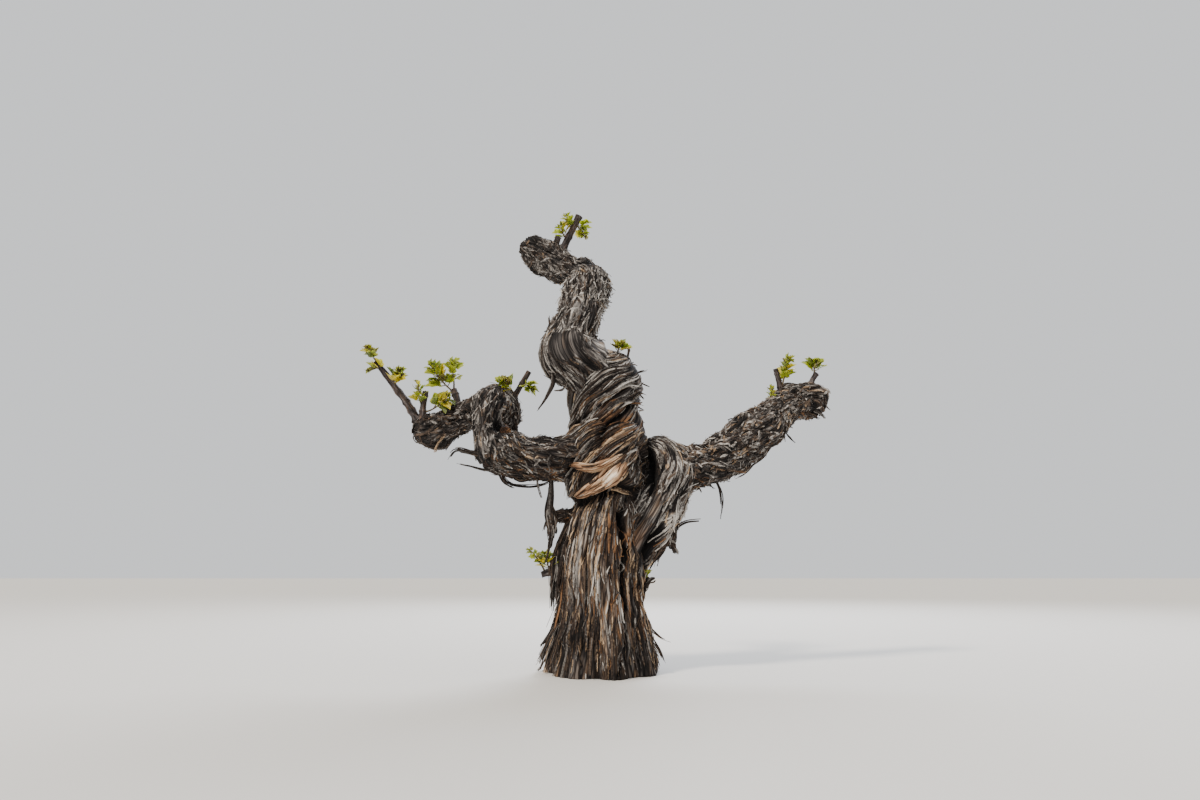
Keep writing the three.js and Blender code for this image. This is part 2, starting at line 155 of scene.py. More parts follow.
# %% Limbs
# flutes are the wide ridges round a limb, relief their height as a share of its radius, turns how often
# they wind round it and dome how far its end bulges. strand and length are the width and length of a
# bark string in millimetres, depth the whole relief and warm how much rust-brown fibre shows. tone
# shifts the grey to brown, shade darkens, lump is the height of slow bumps, and twist gives extra turns
# of the grain at shares of the limb.
LIMBS = {
    "trunk": {
        "size": FOOT, "flutes": 7, "relief": 0.07, "turns": 0.06, "dome": 0.4,
        "strand": 4.6, "length": 110, "depth": 9.5, "warm": 0.26, "tone": 0.34,
        "twist": ((0, 0.6, 0.68, 0.8, 1), (0, 0, 0.03, 0.13, 0.36)),
        "stations": [
            [8, 0, -40, 1.04], [6, 0, 0, 0.96], [3, 0, 48, 0.87], [1, 0, 102, 0.76], [-2, 0, 155, 0.74],
            [2, 0, 212, 0.66], [8, 0, 262, 0.56], [7, -2, 300, 0.67], [9, -2, 340, 0.7],
            [13, 0, 380, 0.64], [14, 0, 404, 0.44],
        ],
    },
    "right_stem": {
        "size": ARM, "flutes": 5, "relief": 0.09, "turns": 0.2, "dome": 0.4,
        "strand": 3.8, "length": 80, "depth": 7, "warm": 0.15, "tone": 0.05,
        "stations": [
            [38, -2, 128, 0.4], [52, -4, 162, 0.55], [69, -5, 202, 0.82], [87, -4, 242, 1.06],
            [104, 0, 284, 1.18], [110, 5, 320, 1.1], [98, 8, 346, 0.84], [78, 8, 358, 0.5],
        ],
    },
    "column_lower": {
        "size": ARM, "flutes": 6, "relief": 0.07, "turns": 0.55, "dome": 0.35,
        "strand": 3.3, "length": 90, "depth": 6.2, "warm": 0.3, "tone": 0.12,
        "stations": [
            [14, 0, 352, 1.4], [10, 0, 394, 1.47], [6, -4, 428, 1.56], [10, -8, 458, 1.62],
            [18, -6, 486, 1.42], [22, -4, 508, 0.95],
        ],
    },
    "column_middle": {
        "size": ARM, "flutes": 5, "relief": 0.07, "turns": 0.3, "dome": 0.35,
        "strand": 3.4, "length": 50, "depth": 6, "warm": 0.05, "tone": -0.2, "lump": 4,
        "twist": ((0, 0.4, 1), (0, -0.06, -0.3)),
        "stations": [
            [12, -10, 476, 1], [-20, -26, 488, 1.2], [-51, -36, 511, 1.38], [-54, -34, 542, 1.08],
            [-38, -27, 580, 0.98], [-30, -17, 618, 1.0], [-23, -8, 650, 1.03], [-20, -2, 672, 0.8],
        ],
    },
    "column_top": {
        "size": ARM, "flutes": 4, "relief": 0.1, "turns": 0.1, "dome": 0.3,
        "strand": 4, "length": 26, "depth": 7.5, "warm": 0, "tone": -0.25, "shade": 0.9, "lump": 4.5,
        "stations": [
            [-1, -2, 659, 0.3], [-8, 0, 662, 0.56], [-32, 10, 675, 0.7], [-58, 22, 694, 0.72],
            [-87, 36, 717, 0.8], [-116, 49, 741, 0.8], [-140, 58, 760, 0.58],
        ],
    },
    "left_arm": {
        "size": ARM, "flutes": 5, "relief": 0.08, "turns": 0.15, "dome": 0.4,
        "strand": 3.8, "length": 40, "depth": 7, "warm": 0.3, "shade": 0.86, "lump": 4,
        "stations": [
            [-12, -6, 338, 1.12], [-48, -14, 333, 1.06], [-84, -24, 331, 0.98], [-120, -33, 332, 0.94],
            [-150, -41, 337, 0.9], [-172, -47, 347, 0.7],
        ],
    },
    "left_rise": {
        "size": ARM, "flutes": 5, "relief": 0.09, "turns": 0.12, "dome": 0.5,
        "strand": 3.2, "length": 45, "depth": 6, "warm": 0.04, "tone": -0.2,
        "stations": [
            [-163, -45, 338, 0.76], [-178, -49, 364, 0.66], [-184, -49, 392, 0.58],
            [-184, -44, 416, 0.6], [-180, -36, 434, 0.54],
        ],
    },
    "left_knob": {
        "size": ARM, "flutes": 4, "relief": 0.09, "turns": 0.1, "dome": 0.4,
        "strand": 3.2, "length": 26, "depth": 5.5, "warm": 0.08, "tone": -0.05,
        "stations": [
            [-192, -36, 420, 0.48], [-181, -22, 433, 0.53], [-165, -8, 435, 0.54], [-155, 0, 420, 0.5],
            [-152, 2, 400, 0.4],
        ],
    },
    "far_left_arm": {
        "size": ARM, "flutes": 5, "relief": 0.11, "turns": 0.1, "dome": 0.4,
        "strand": 3.8, "length": 22, "depth": 8, "warm": 0.05, "tone": -0.15, "shade": 0.88, "lump": 5,
        "stations": [
            [-186, -26, 422, 0.62], [-212, -10, 416, 0.6], [-238, 2, 408, 0.6], [-262, 11, 398, 0.72],
            [-290, 18, 388, 0.82], [-312, 24, 390, 0.62],
        ],
    },
    "right_arm": {
        "size": ARM, "flutes": 5, "relief": 0.09, "turns": 0.2, "dome": 0.2,
        "strand": 3.6, "length": 26, "depth": 8, "warm": 0.25, "shade": 0.93, "lump": 5,
        "stations": [
            [112, 8, 316, 0.86], [150, 14, 321, 0.9], [188, 24, 332, 0.94], [224, 36, 354, 1.04],
            [260, 48, 381, 1.08], [296, 60, 406, 1], [332, 72, 439, 0.86], [366, 82, 459, 0.9],
            [394, 89, 460, 0.94], [409, 93, 455, 0.74],
        ],
    },
}


def prepare(limbs, first_seed):
    """Gives each limb its name, seed, spine and mean girth."""
    for i, (name, limb) in enumerate(limbs.items()):
        limb["name"] = name
        limb["seed"] = first_seed + 10 * i
        limb["line"] = spine(limb["stations"], limb["size"])
        limb["girth"] = TAU * float(limb["line"]["radius"].mean()) / MM
        limb["mm_long"] = float(limb["line"]["run"][-1])


prepare(LIMBS, 0)
print("limbs in mm:", {name: round(limb["mm_long"]) for name, limb in LIMBS.items()})

# %% [markdown]
# A vine's bark is dead fibre. Rain and sun split it along the grain, so it is a bundle of strings with
# black furrows between, and the outermost strips lift at one end. A picture of bark couldn't follow
# limbs that twist this much, so the relief is worked out in the limb's own two directions: round it and
# along it. Noise is drawn out along the grain, and each column of it starts at its own place, as fibres
# do.

# %% Fibres
TABLE_ROWS = 97             # random numbers in a column before it repeats
RIDGE_SPREAD = 1.35         # above 1, ridges get flat tops
RIDGE_POWER = 0.7           # below 1, furrows get narrow


def fibres(seed, run, around, length, count):
    """Streaky heights from 0 to 1. count columns close round the limb. Each is a random curve along
    it with its own start, and one column eases across into the next."""
    count = max(int(round(count)), 3)
    draw = np.random.default_rng(seed)
    table = draw.random((TABLE_ROWS, count))
    start = draw.random(count) * TABLE_ROWS
    x = (around % 1) * count
    left = np.floor(x).astype(int) % count

    def column(k):
        y = run / length + start[k]
        i = np.floor(y).astype(int)
        f = ease(y - i)
        return table[i % TABLE_ROWS, k] * (1 - f) + table[(i + 1) % TABLE_ROWS, k] * f

    f = ease(x - np.floor(x))
    return column(left) * (1 - f) + column((left + 1) % count) * f


def furrow(noise):
    """Turns noise into rounded ridges with narrow furrows where it passes its middle: |2n - 1|, spread
    and cut off at 1, to a power below 1."""
    return np.clip(np.abs(2 * noise - 1) * RIDGE_SPREAD, 0, 1) ** RIDGE_POWER


streak = furrow(fibres(1, np.linspace(0, 200, 900), np.zeros(900), 40, 9))
print("along one fibre the furrows take up", f"{(streak < 0.3).mean():.0%}")


# %% Strips laid end over end
def strips(seed, run, around, length, count):
    """Strips of bark laid end over end: height and a random tone of each. A strip rises slowly from
    its fixed end to its free end, drops to the next, and falls away at both sides."""
    count = max(int(round(count)), 3)
    draw = np.random.default_rng(seed)
    start = draw.random(count) * TABLE_ROWS
    pace = draw.uniform(0.6, 1.5, count)
    tones = draw.random((TABLE_ROWS, count))
    x = (around % 1) * count
    k = np.floor(x).astype(int) % count
    side = 1 - np.abs(2 * (x - np.floor(x)) - 1) ** 4
    y = start[k] - run / length * pace[k]
    i = np.floor(y).astype(int)
    rise = (y - i) ** 1.6
    tone = tones[i % TABLE_ROWS, k]
    return side * (0.25 + 0.75 * rise * tone), tone


_, plate_tone = strips(1, np.linspace(0, 200, 900), np.full(900, 0.45), 40, 9)
print("one column of strips has", len(set(plate_tone)), "strips in 200 mm")

# %% [markdown]
# The relief of a limb is worked out in two steps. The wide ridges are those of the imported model, by the
# same formula, so that a finished limb fills the space of its solid. The bark is a sum of four layers:
# ropes, strings, lifted strips and fine fibres.

# %% The relief of a limb
FLARE = 1.2                 # how much more the ridges stand out at the trunk's foot
FLARE_REACH = 0.16          # share of the trunk's length over which that fades
WIDE_PART = 0.65            # share of the widest waves in the ridges
EXTRA_FLUTES = 3            # the narrow waves have this many more crests
WANDER = 5                  # radians that the narrow waves drift on their way to the tip
DRIFT = 50                  # width in millimetres of the slow sideways drift of the grain
WAVE = 20                   # millimetres from one bend of a wavy string to the next
WAVE_WIDE = 16              # width in millimetres of such a bend
FINEST = 2.2                # width of the finest fibres in millimetres
ROPES, STRINGS, PLATES, FINE = 0.34, 0.3, 0.24, 0.12        # shares of the bark's height


def ridges(limb, angle, share):
    """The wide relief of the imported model: 1 plus two sets of waves that wind with the limb, and
    stand out more at the trunk's foot."""
    wound = angle - limb["turns"] * TAU * share
    start = len(limb["name"])
    wide = np.cos(limb["flutes"] * wound + start)
    narrow = np.cos((limb["flutes"] + EXTRA_FLUTES) * wound + 2 * start + WANDER * share)
    foot = 1 + FLARE * np.exp(-share / FLARE_REACH) if limb["name"] == "trunk" else 1
    return 1 + limb["relief"] * foot * (WIDE_PART * wide + (1 - WIDE_PART) * narrow)


def grain(limb, share):
    """Radians that the fibres have wound round the limb by a share of its length. Near a fork they
    can wind faster than the wide ridges do."""
    extra = np.interp(share, *limb["twist"]) if "twist" in limb else 0
    return TAU * (limb["turns"] * share + extra)


def bark(limb, share, angle):
    """Height of the bark from 0, the bottom of a furrow, to 1, and the tone of the strip there. The
    layers are a share of the limb's own strand and length: ropes 2.3 strands wide, strings 1 and
    strips 1.4, while fine fibres are equally wide everywhere."""
    run = pick(limb["line"], "run", share)
    around = (angle - grain(limb, share)) / TAU
    seed, girth, strand, length = limb["seed"], limb["girth"], limb["strand"], limb["length"]
    drift = fibres(seed + 1, run, around, 1.3 * length, girth / DRIFT) - 0.5
    wave = fibres(seed + 7, run, around, WAVE, girth / WAVE_WIDE) - 0.5
    around = around + (4 * strand * drift + 1.5 * strand * wave) / girth
    rope = furrow(fibres(seed + 2, run, around, length, girth / (2.3 * strand)))
    string = furrow(fibres(seed + 3, run, around, 0.6 * length, girth / strand))
    plate, tone = strips(seed + 4, run, around, 0.55 * length, girth / (1.4 * strand))
    fine = fibres(seed + 5, run, around, 0.2 * length, girth / FINEST)
    height = ROPES * rope + STRINGS * string + PLATES * plate + FINE * fine
    return height, np.clip(tone + limb.get("tone", 0), 0, 1)


ring = bark(LIMBS["trunk"], np.full(900, 0.4), np.linspace(0, TAU, 900))[0]
print("bark heights round the trunk run from", ring.min().round(2), "to", ring.max().round(2))

# %% [markdown]
# Where two limbs meet, the real wood has grown over the join and left a soft collar. Two tubes that
# only pass through each other would show a hard line, so each skin swells a little as it nears its
# neighbour: by (k - d)² / 4k, where d is the distance to the neighbour's skin. Both skins then bend
# towards each other and the line lies in a smooth hollow.

# %% Gaps between limbs
COLLAR = 26 * MM            # gap within which a skin bends towards its neighbour
COLLAR_MOST = 1.6           # a thin limb's collar is at most this many of its radii wide
PROBES = 6                  # every sixth sample of a neighbour's middle line is enough to measure from


def gap_to(other, points):
    """Distance from each point to another limb's plain skin, below zero inside it."""
    middle = other["line"]["middle"][::PROBES]
    radius = other["line"]["radius"][::PROBES]
    flat = points.reshape(-1, 3)
    far = np.sqrt(np.maximum(
        (flat**2).sum(1)[:, None] + (middle**2).sum(1)[None] - 2 * flat @ middle.T, 0))
    return (far - radius[None]).min(axis=1).reshape(points.shape[:-1])


def nearest_gap(limb, points):
    """The smallest distance from each point to the skin of any limb but its own."""
    others = [other for other in LIMBS.values() if other is not limb]
    return np.min([gap_to(other, points) for other in others], axis=0)


reach = float(nearest_gap(None, FRONT[None])[0])
print("a metre in front of the trunk, the nearest skin is", round(reach, 2), "m away")

# %% [markdown]
# The trunk has two forms of its own. Its head hangs over its neck like a hood, and a deep furrow runs
# down its front, where the right stem was once a trunk of its own that grew together with it. Both are
# too narrow for stations, so they are added along the outward direction, as functions of the angle and
# the height.

# %% The trunk's hood and seam
HOOD_X = [-60, -45, -25, -5, 19, 41, 58, 75]            # the hood's lower edge, from left to right
HOOD_Z = [262, 267, 270, 280, 291, 287, 274, 266]
HOOD_OUT = 13               # millimetres that the hood stands out
HOOD_START = 2              # it starts this far below its edge and is full after the next value
HOOD_STEP = 7
HOOD_FADE = 38              # height over which it fades again
DIP_DEPTH = 8               # the dip below the edge
DIP_HALF = 9                # its half height, which is also how far it lies below the edge
SEAM_Z = [0, 23, 57, 101, 143, 184, 215, 243]           # the seam's height and its angle from the front
SEAM_ANGLE = [13, 18, 28, 34, 33, 41, 36, 33]
SEAM_DEPTH = [3, 4, 6, 9, 14, 16, 16, 14]
SEAM_HALF = [2.5, 3, 3, 3.5, 4, 4.5, 4.5, 5]
SEAM_TOP = 258              # height at which the seam has ended
SEAM_FADE = 25              # and over which it does


def beside(limb, share, angle, centre):
    """Millimetres round the limb from an angle given in degrees."""
    bent = np.degrees((angle + math.pi) % TAU - math.pi)
    return (bent - centre) * pick(limb["line"], "radius", share) / MM / IN_RADIAN


def head_forms(points, angle):
    """Metres that the hood and the seam add to the trunk: a step out above the hood's edge that fades
    upwards, a dip below it, and a furrow shaped like a bell upside down, which wanders a little."""
    x, z = points[..., 0] / MM, points[..., 2] / MM
    over = z - np.interp(x, HOOD_X, HOOD_Z)
    front = ease(1.6 * np.cos(angle))
    hood = HOOD_OUT * ease((over + HOOD_START) / HOOD_STEP) * np.exp(-np.clip(over, 0, None) / HOOD_FADE)
    dip = -DIP_DEPTH * np.exp(-((over + DIP_HALF) / DIP_HALF) ** 2)
    reach = np.hypot(x, points[..., 1] / MM)
    side = (np.degrees(angle) - np.interp(z, SEAM_Z, SEAM_ANGLE)) * reach / IN_RADIAN
    side = side + 2 * np.sin(z / 6) + 1.5 * np.sin(z / 2.7)
    seam = -np.interp(z, SEAM_Z, SEAM_DEPTH) * np.exp(-(side / np.interp(z, SEAM_Z, SEAM_HALF)) ** 2)
    seam = seam * ease((SEAM_TOP - z) / SEAM_FADE)
    return ((hood + dip) * front + np.where(front > 0, seam, 0)) * MM


print("the hood stands", HOOD_OUT, "mm out and the seam is up to", max(SEAM_DEPTH), "mm deep")

# %% [markdown]
# The right stem shows a smooth band in front, from which the strips have fallen, with a hollow beside
# it. Smooth places elsewhere are old pruning wounds that have healed over. There the relief is turned
# down and no strips are laid.

# %% Smooth places
RECESS_ANGLE = 30           # degrees from the front, half width and depth of the right stem's hollow
RECESS_HALF = 9
RECESS_DEPTH = 17
RECESS_END = 0.46           # shares of the stem at which the hollow and the band end
BAND_ANGLE = -8             # the band, where no strips are left
BAND_HALF = 11
BAND_END = 0.56
BAND_SMOOTH = 0.85          # share of the relief that it lacks
SMOOTH_SPOTS = [            # x, z, radius in millimetres and share of the relief that is missing
    (-58, 506, 27, 0.55), (-42, 530, 30, 0.3), (4, 518, 20, 0.6)]


def stem_window(share, end):
    """1 along the right stem from its foot to the share named end and 0 elsewhere, with soft borders
    an eighth and a seventh of its length wide."""
    return ease(8 * share) * ease(7 * (end - share))


def recess(limb, share, angle):
    """The hollow along the right stem: a long dent shaped like a bell."""
    side = beside(limb, share, angle, RECESS_ANGLE)
    return -RECESS_DEPTH * np.exp(-(side / RECESS_HALF) ** 2) * stem_window(share, RECESS_END) * MM


def spots(table, points):
    """Sum of bells seen from the front. The table's rows are x, z, radius and strength."""
    x, z = points[..., 0] / MM, points[..., 2] / MM
    return sum(row[3] * np.exp(-((x - row[0])**2 + (z - row[1])**2) / row[2]**2) for row in table)


def roughness(limb, share, angle, points):
    """Share of the bark's relief that is left: 1, but low on the right stem's smooth band and on the
    smooth spots."""
    left = 1 - spots(SMOOTH_SPOTS, points)
    if limb["name"] == "right_stem":
        side = beside(limb, share, angle, BAND_ANGLE)
        left = left - BAND_SMOOTH * np.exp(-(side / BAND_HALF) ** 4) * stem_window(share, BAND_END)
    return left


healed = np.array([[x * MM, 0, z * MM] for x, z, _, _ in SMOOTH_SPOTS])
print("relief left on the healed wounds:", roughness(LIMBS["trunk"], None, None, healed).round(2))

# %% [markdown]
# Old bark isn't equally old all over. Where it was shed lately it is rust-brown, and where water lies it
# rots and turns black. Each such place is a soft round spot, so that no edge shows where one ends. Spots
# of the same kind paint shade into hollows, under ledges and round the foot, and paint highlights on the
# lip and on the right stem's strips.

# %% Warm places, rot, painted shade and painted highlights
WARM_SPOTS = [              # x, z, radius in millimetres and strength
    (22, 388, 36, 0.55), (0, 352, 24, 0.4), (22, 200, 34, 0.45), (6, 300, 30, 0.35), (80, 204, 34, 0.2),
    (50, 120, 40, 0.3), (4, 80, 60, 0.25)]
ROT_SHADE_AND_HIGHLIGHT_SPOTS = [              # the same for rot and painted shade, with strengths below 0 for painted highlights
    (-36, 294, 18, 0.4), (2, 356, 24, 0.3), (82, 324, 20, 0.6), (46, 272, 16, 0.4), (-122, 746, 34, 0.25),
    (-62, 492, 34, 0.1), (8, 514, 22, -0.4), (-158, 378, 13, 0.7), (138, 330, 24, -0.3),
    (24, 300, 18, -0.35), (2, 286, 14, -0.25), (-32, 270, 9, 0.2), (-46, 318, 10, 0.3),
    (-62, 240, 16, 0.45), (62, 36, 34, 0.25), (-58, 44, 42, 0.28), (112, 236, 26, -0.35),
    (-8, 180, 48, -0.2)]


def warmth(limb, points, out):
    """How much rust-brown fibre shows, from 0 to 1: more on undersides, which the sun never bleaches,
    and on the warm spots in front."""
    warm = limb["warm"] * (0.35 + np.clip(-out[..., 2], 0, 1))
    return np.clip(warm + spots(WARM_SPOTS, points) * (out[..., 1] < 0), 0, 1)


def light_left(limb, points, out):
    """What share of its brightness the bark keeps. Rotted bark and painted shade in front keep less, and
    painted highlights get more."""
    return limb.get("shade", 1) * (1 - spots(ROT_SHADE_AND_HIGHLIGHT_SPOTS, points) * ease(-3 * out[..., 1]))


# The dark spots are rot and painted shade, and the bleached ones are painted highlights.
print(len(WARM_SPOTS), "warm places,", len(ROT_SHADE_AND_HIGHLIGHT_SPOTS), "dark or bleached ones")

# %% [markdown]
# Rot eats round pockets where a branch was lost, and the wood between the strands splits into creases
# with raised ledges. Both face the front, where they can be seen, and fade towards the sides. Slow bumps
# all over keep a limb from looking turned on a lathe.

# %% Hollows, creases and bumps
LUMP = 24                   # millimetres from one slow bump to the next
LUMP_HIGH = 3.5             # their usual height
CREASED = ("trunk", "right_stem", "column_lower", "left_arm", "left_rise", "right_arm")
HOLLOWS = [                 # x, z, half width, half height and depth in millimetres
    (78, 322, 13, 29, 18), (34, 231, 6, 9, 12), (392, 441, 12, 14, 6), (-158, 379, 12, 12, 17)]
CREASES = [                 # half width, height (below zero for a furrow) and points x, z
    (3.2, -10, [(52, 424), (36, 404), (14, 386), (4, 366), (6, 350)]),
    (2.6, -7, [(-34, 392), (-12, 404), (14, 424), (44, 446)]),
    (3.4, -11, [(8, 272), (30, 279), (60, 284), (74, 298)]),
    (2.6, 6, [(26, 270), (44, 271), (60, 268)]),
    (2.6, -6, [(-52, 300), (-46, 322), (-30, 340)]),
    (2.4, 5, [(-40, 334), (-22, 330), (-2, 332)]),
    (3, -8, [(58, 352), (66, 338), (84, 290), (78, 272)]),
]


def hollows(points, out):
    """Metres that rotted knots and pockets dent the front, as bells."""
    x, z = points[..., 0] / MM, points[..., 2] / MM
    dent = np.zeros_like(x)
    for middle_x, middle_z, wide, high, deep in HOLLOWS:
        far = ((x - middle_x) / wide) ** 2 + ((z - middle_z) / high) ** 2
        dent = dent - deep * np.exp(-far) * ease(-2 * out[..., 1])
    return dent * MM


def creases(points, out):
    """Metres that creases and ledges add to the front. Each is a bell of the distance to a line of
    straight steps, as seen from the front."""
    flat = points[..., [0, 2]] / MM
    form = np.zeros(flat.shape[:-1])
    for half, height, line in CREASES:
        line = np.array(line, float)
        apart = np.full(flat.shape[:-1], 1e4)
        for start, end in zip(line[:-1], line[1:]):
            step = end - start
            along = np.clip((flat - start) @ step / (step @ step), 0, 1)
            apart = np.minimum(apart, np.linalg.norm(flat - start - along[..., None] * step, axis=-1))
        form = form + height * np.exp(-(apart / half) ** 2) * ease(-2 * out[..., 1])
    return form * MM


def lumps(limb, share, angle):
    """Metres of slow bumps, as long as they are wide, that keep a limb from looking turned."""
    run = pick(limb["line"], "run", share)
    around = (angle - grain(limb, share)) / TAU
    slow = fibres(limb["seed"] + 6, run, around, LUMP, limb["girth"] / LUMP)
    return (2 * slow - 1) * limb.get("lump", LUMP_HIGH) * MM


turn = np.linspace(0, TAU, 900)
bumps = lumps(LIMBS["right_arm"], np.full(900, 0.5), turn) / MM
print("bumps half way along the right arm reach", bumps.max().round(1), "mm")

# %% [markdown]
# Now the skin itself, still without bark. Each point is found from two numbers, its share along the
# limb and its angle round it, and every form named so far adds its part along the outward direction.

# %% A limb before its bark
KNOT_SWELL = 0.22           # a cane is thicker by this share at its nodes,
KNOT_HALF = 0.035           # over this share of its length
SLOT_START, SLOT_END = 0.2, 0.9     # shares of a fold between which its slot lies


def plain_skin(limb, share, angle):
    """Points on a limb before its bark is added, the outward directions, the gap to the nearest other
    limb and how far the skin is dented, all in metres: the middle line plus the radius with its ridges
    and bumps, and the collar near a neighbour. A boxy limb's section is a superellipse."""
    line = limb["line"]
    out = (np.cos(angle)[..., None] * pick(line, "front", share)
           + limb.get("squash", 1) * np.sin(angle)[..., None] * pick(line, "across", share))
    radius = pick(line, "radius", share) * ridges(limb, angle, share) + lumps(limb, share, angle)
    if "boxy" in limb:
        power = limb["boxy"]
        radius = radius / (np.abs(np.cos(angle)) ** power + np.abs(np.sin(angle)) ** power) ** (1 / power)
    for knot in limb.get("knots", ()):
        radius = radius * (1 + KNOT_SWELL * np.exp(-((share - knot) / KNOT_HALF) ** 2))
    points = pick(line, "middle", share) + radius[..., None] * out
    gap = nearest_gap(limb, points)
    reach = min(limb.get("collar", COLLAR), COLLAR_MOST * float(line["radius"].max()))
    swell = np.clip(reach - np.abs(gap), 0, None) ** 2 / (4 * reach)
    form = np.zeros_like(swell)
    if limb["name"] == "trunk":
        form = head_forms(points, (angle + math.pi) % TAU - math.pi)
    if limb["name"] == "right_stem":
        form = recess(limb, share, angle)
    if "slot" in limb:
        at, half, depth = limb["slot"]
        side = beside(limb, share, angle, at)
        bell = -depth * MM * np.exp(-(side / half) ** 2)
        form = bell * ease(5 * (share - SLOT_START)) * ease(6 * (SLOT_END - share))
    if limb["name"] in CREASED:
        form = form + hollows(points, out) + creases(points, out)
    return points + (swell + form)[..., None] * out, out, gap, np.minimum(form, 0)


waist = plain_skin(LIMBS["trunk"], np.full(900, 0.55), turn)[0]
print("the trunk's waist is", round(float(np.ptp(waist[:, 0])) * 1000), "mm wide")

# %% [markdown]
# A mesh is no more than arrays of numbers: points, then the corners of each face. Handing Blender whole
# arrays is hundreds of times faster than adding points one by one, and extra arrays with a value for
# each point, the attributes, tell the materials what each point is: how high in the bark, how warm, and
# where along the fibre.


# %% Meshes from arrays
def mesh_of(name, points, faces, smooth=True, **attributes):
    """A mesh from an array of points and a list of face arrays, each with its own number of corners.
    Attributes with one number a point are floats and those with three are vectors. No point lies
    below the ground."""
    mesh = bpy.data.meshes.new(name)
    points = points.reshape(-1, 3).copy()
    points[:, 2] = np.maximum(points[:, 2], 0)
    corners = np.concatenate([block.ravel() for block in faces])
    counts = np.concatenate([np.full(len(block), block.shape[1]) for block in faces])
    mesh.vertices.add(len(points))
    mesh.vertices.foreach_set("co", points.astype(np.float32).ravel())
    mesh.loops.add(len(corners))
    mesh.loops.foreach_set("vertex_index", corners.astype(np.int32))
    mesh.polygons.add(len(counts))
    mesh.polygons.foreach_set("loop_start", (np.cumsum(counts) - counts).astype(np.int32))
    mesh.polygons.foreach_set("use_smooth", np.full(len(counts), smooth))
    for key, values in attributes.items():
        values = np.asarray(values, np.float32)
        kind = "FLOAT_VECTOR" if values.size == points.size else "FLOAT"
        made = mesh.attributes.new(key, kind, "POINT")
        made.data.foreach_set("vector" if kind == "FLOAT_VECTOR" else "value", values.ravel())
    mesh.update()
    mesh.validate()
    mesh["triangles"] = int((counts - 2).sum())
    return mesh


def tube_faces(rows, columns):
    """Faces of a grid that closes round, with a fan to one extra point at each end. The two end points
    come after the grid's own points."""
    grid = np.arange(rows * columns).reshape(rows, columns)
    right = np.roll(grid, -1, axis=1)
    quads = np.stack([grid[:-1], right[:-1], right[1:], grid[1:]], axis=-1).reshape(-1, 4)
    low, high = rows * columns, rows * columns + 1
    start = np.stack([np.full(columns, low), right[0], grid[0]], axis=-1)
    end = np.stack([np.full(columns, high), grid[-1], right[-1]], axis=-1)
    return [quads, np.concatenate([start, end])]


def rod_faces(count, steps, sides, first=0):
    """Faces of count rods side by side, each of some rings of sides corners: the long sides in quads,
    and a flat end at both ends. first is the number of the first corner."""
    grid = np.arange(count * steps * sides).reshape(count, steps, sides) + first
    right = np.roll(grid, -1, axis=2)
    quads = np.stack([grid[:, :-1], right[:, :-1], right[:, 1:], grid[:, 1:]], axis=-1).reshape(-1, 4)
    return quads, np.concatenate([grid[:, 0, ::-1], grid[:, -1]])


print("a tube of 3 rows and 4 columns has", sum(map(len, tube_faces(3, 4))), "faces")

# %% Pieces of the plant
TOTAL = {"triangles": 0}


def piece(name, mesh, material, slot, *nodes):
    """A finished piece of the plant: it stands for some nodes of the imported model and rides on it."""
    made = bpy.data.objects.new(name, mesh)
    mesh.materials.append(material)
    bpy.context.scene.collection.objects.link(made)
    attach(made, "root")
    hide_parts(*nodes)
    TOTAL["triangles"] += mesh["triangles"]
    print(name, len(mesh.vertices), "points,", mesh["triangles"], "triangles")


# %% [markdown]
# Each material starts from what the real stuff is. One function turns the hex colours that people write
# into the linear values that light is worked out with, and one adds a node with its settings and links.

# %% Colour and node helpers
def srgb(code):
    """Linear red, green, blue and alpha of a hex colour: the screen's curve undone."""
    value = np.array([int(code[i:i + 2], 16) for i in (1, 3, 5)]) / 255
    linear = np.where(value <= 0.04045, value / 12.92, ((value + 0.055) / 1.055) ** 2.4)
    return (*linear.tolist(), 1.0)


def add(tree, kind, sockets=None, stops=(), **settings):
    """Adds a shader node: sockets holds values or links by input name, stops a ramp's colours, and
    settings the node's own properties."""
    made = tree.nodes.new("ShaderNode" + kind)
    for key, value in settings.items():
        setattr(made, key, value)
    for key, value in (sockets or {}).items():
        if isinstance(value, bpy.types.NodeSocket):
            tree.links.new(value, made.inputs[key])
        else:
            made.inputs[key].default_value = value
    for i, (place, code) in enumerate(stops):
        marks = made.color_ramp.elements
        mark = marks[i] if i < len(marks) else marks.new(place)
        mark.position = place
        mark.color = srgb(code)
    return made


def new_material(name, roughness, specular):
    """A material with one Principled shader joined to the output, and its tree."""
    made = bpy.data.materials.new(name)
    made.use_nodes = True
    shader = made.node_tree.nodes["Principled BSDF"]
    shader.inputs["Roughness"].default_value = roughness
    shader.inputs["Specular IOR Level"].default_value = specular
    return made, made.node_tree, shader


print("the palest bark in linear light:", [round(v, 3) for v in srgb("#c6c0b8")[:3]])
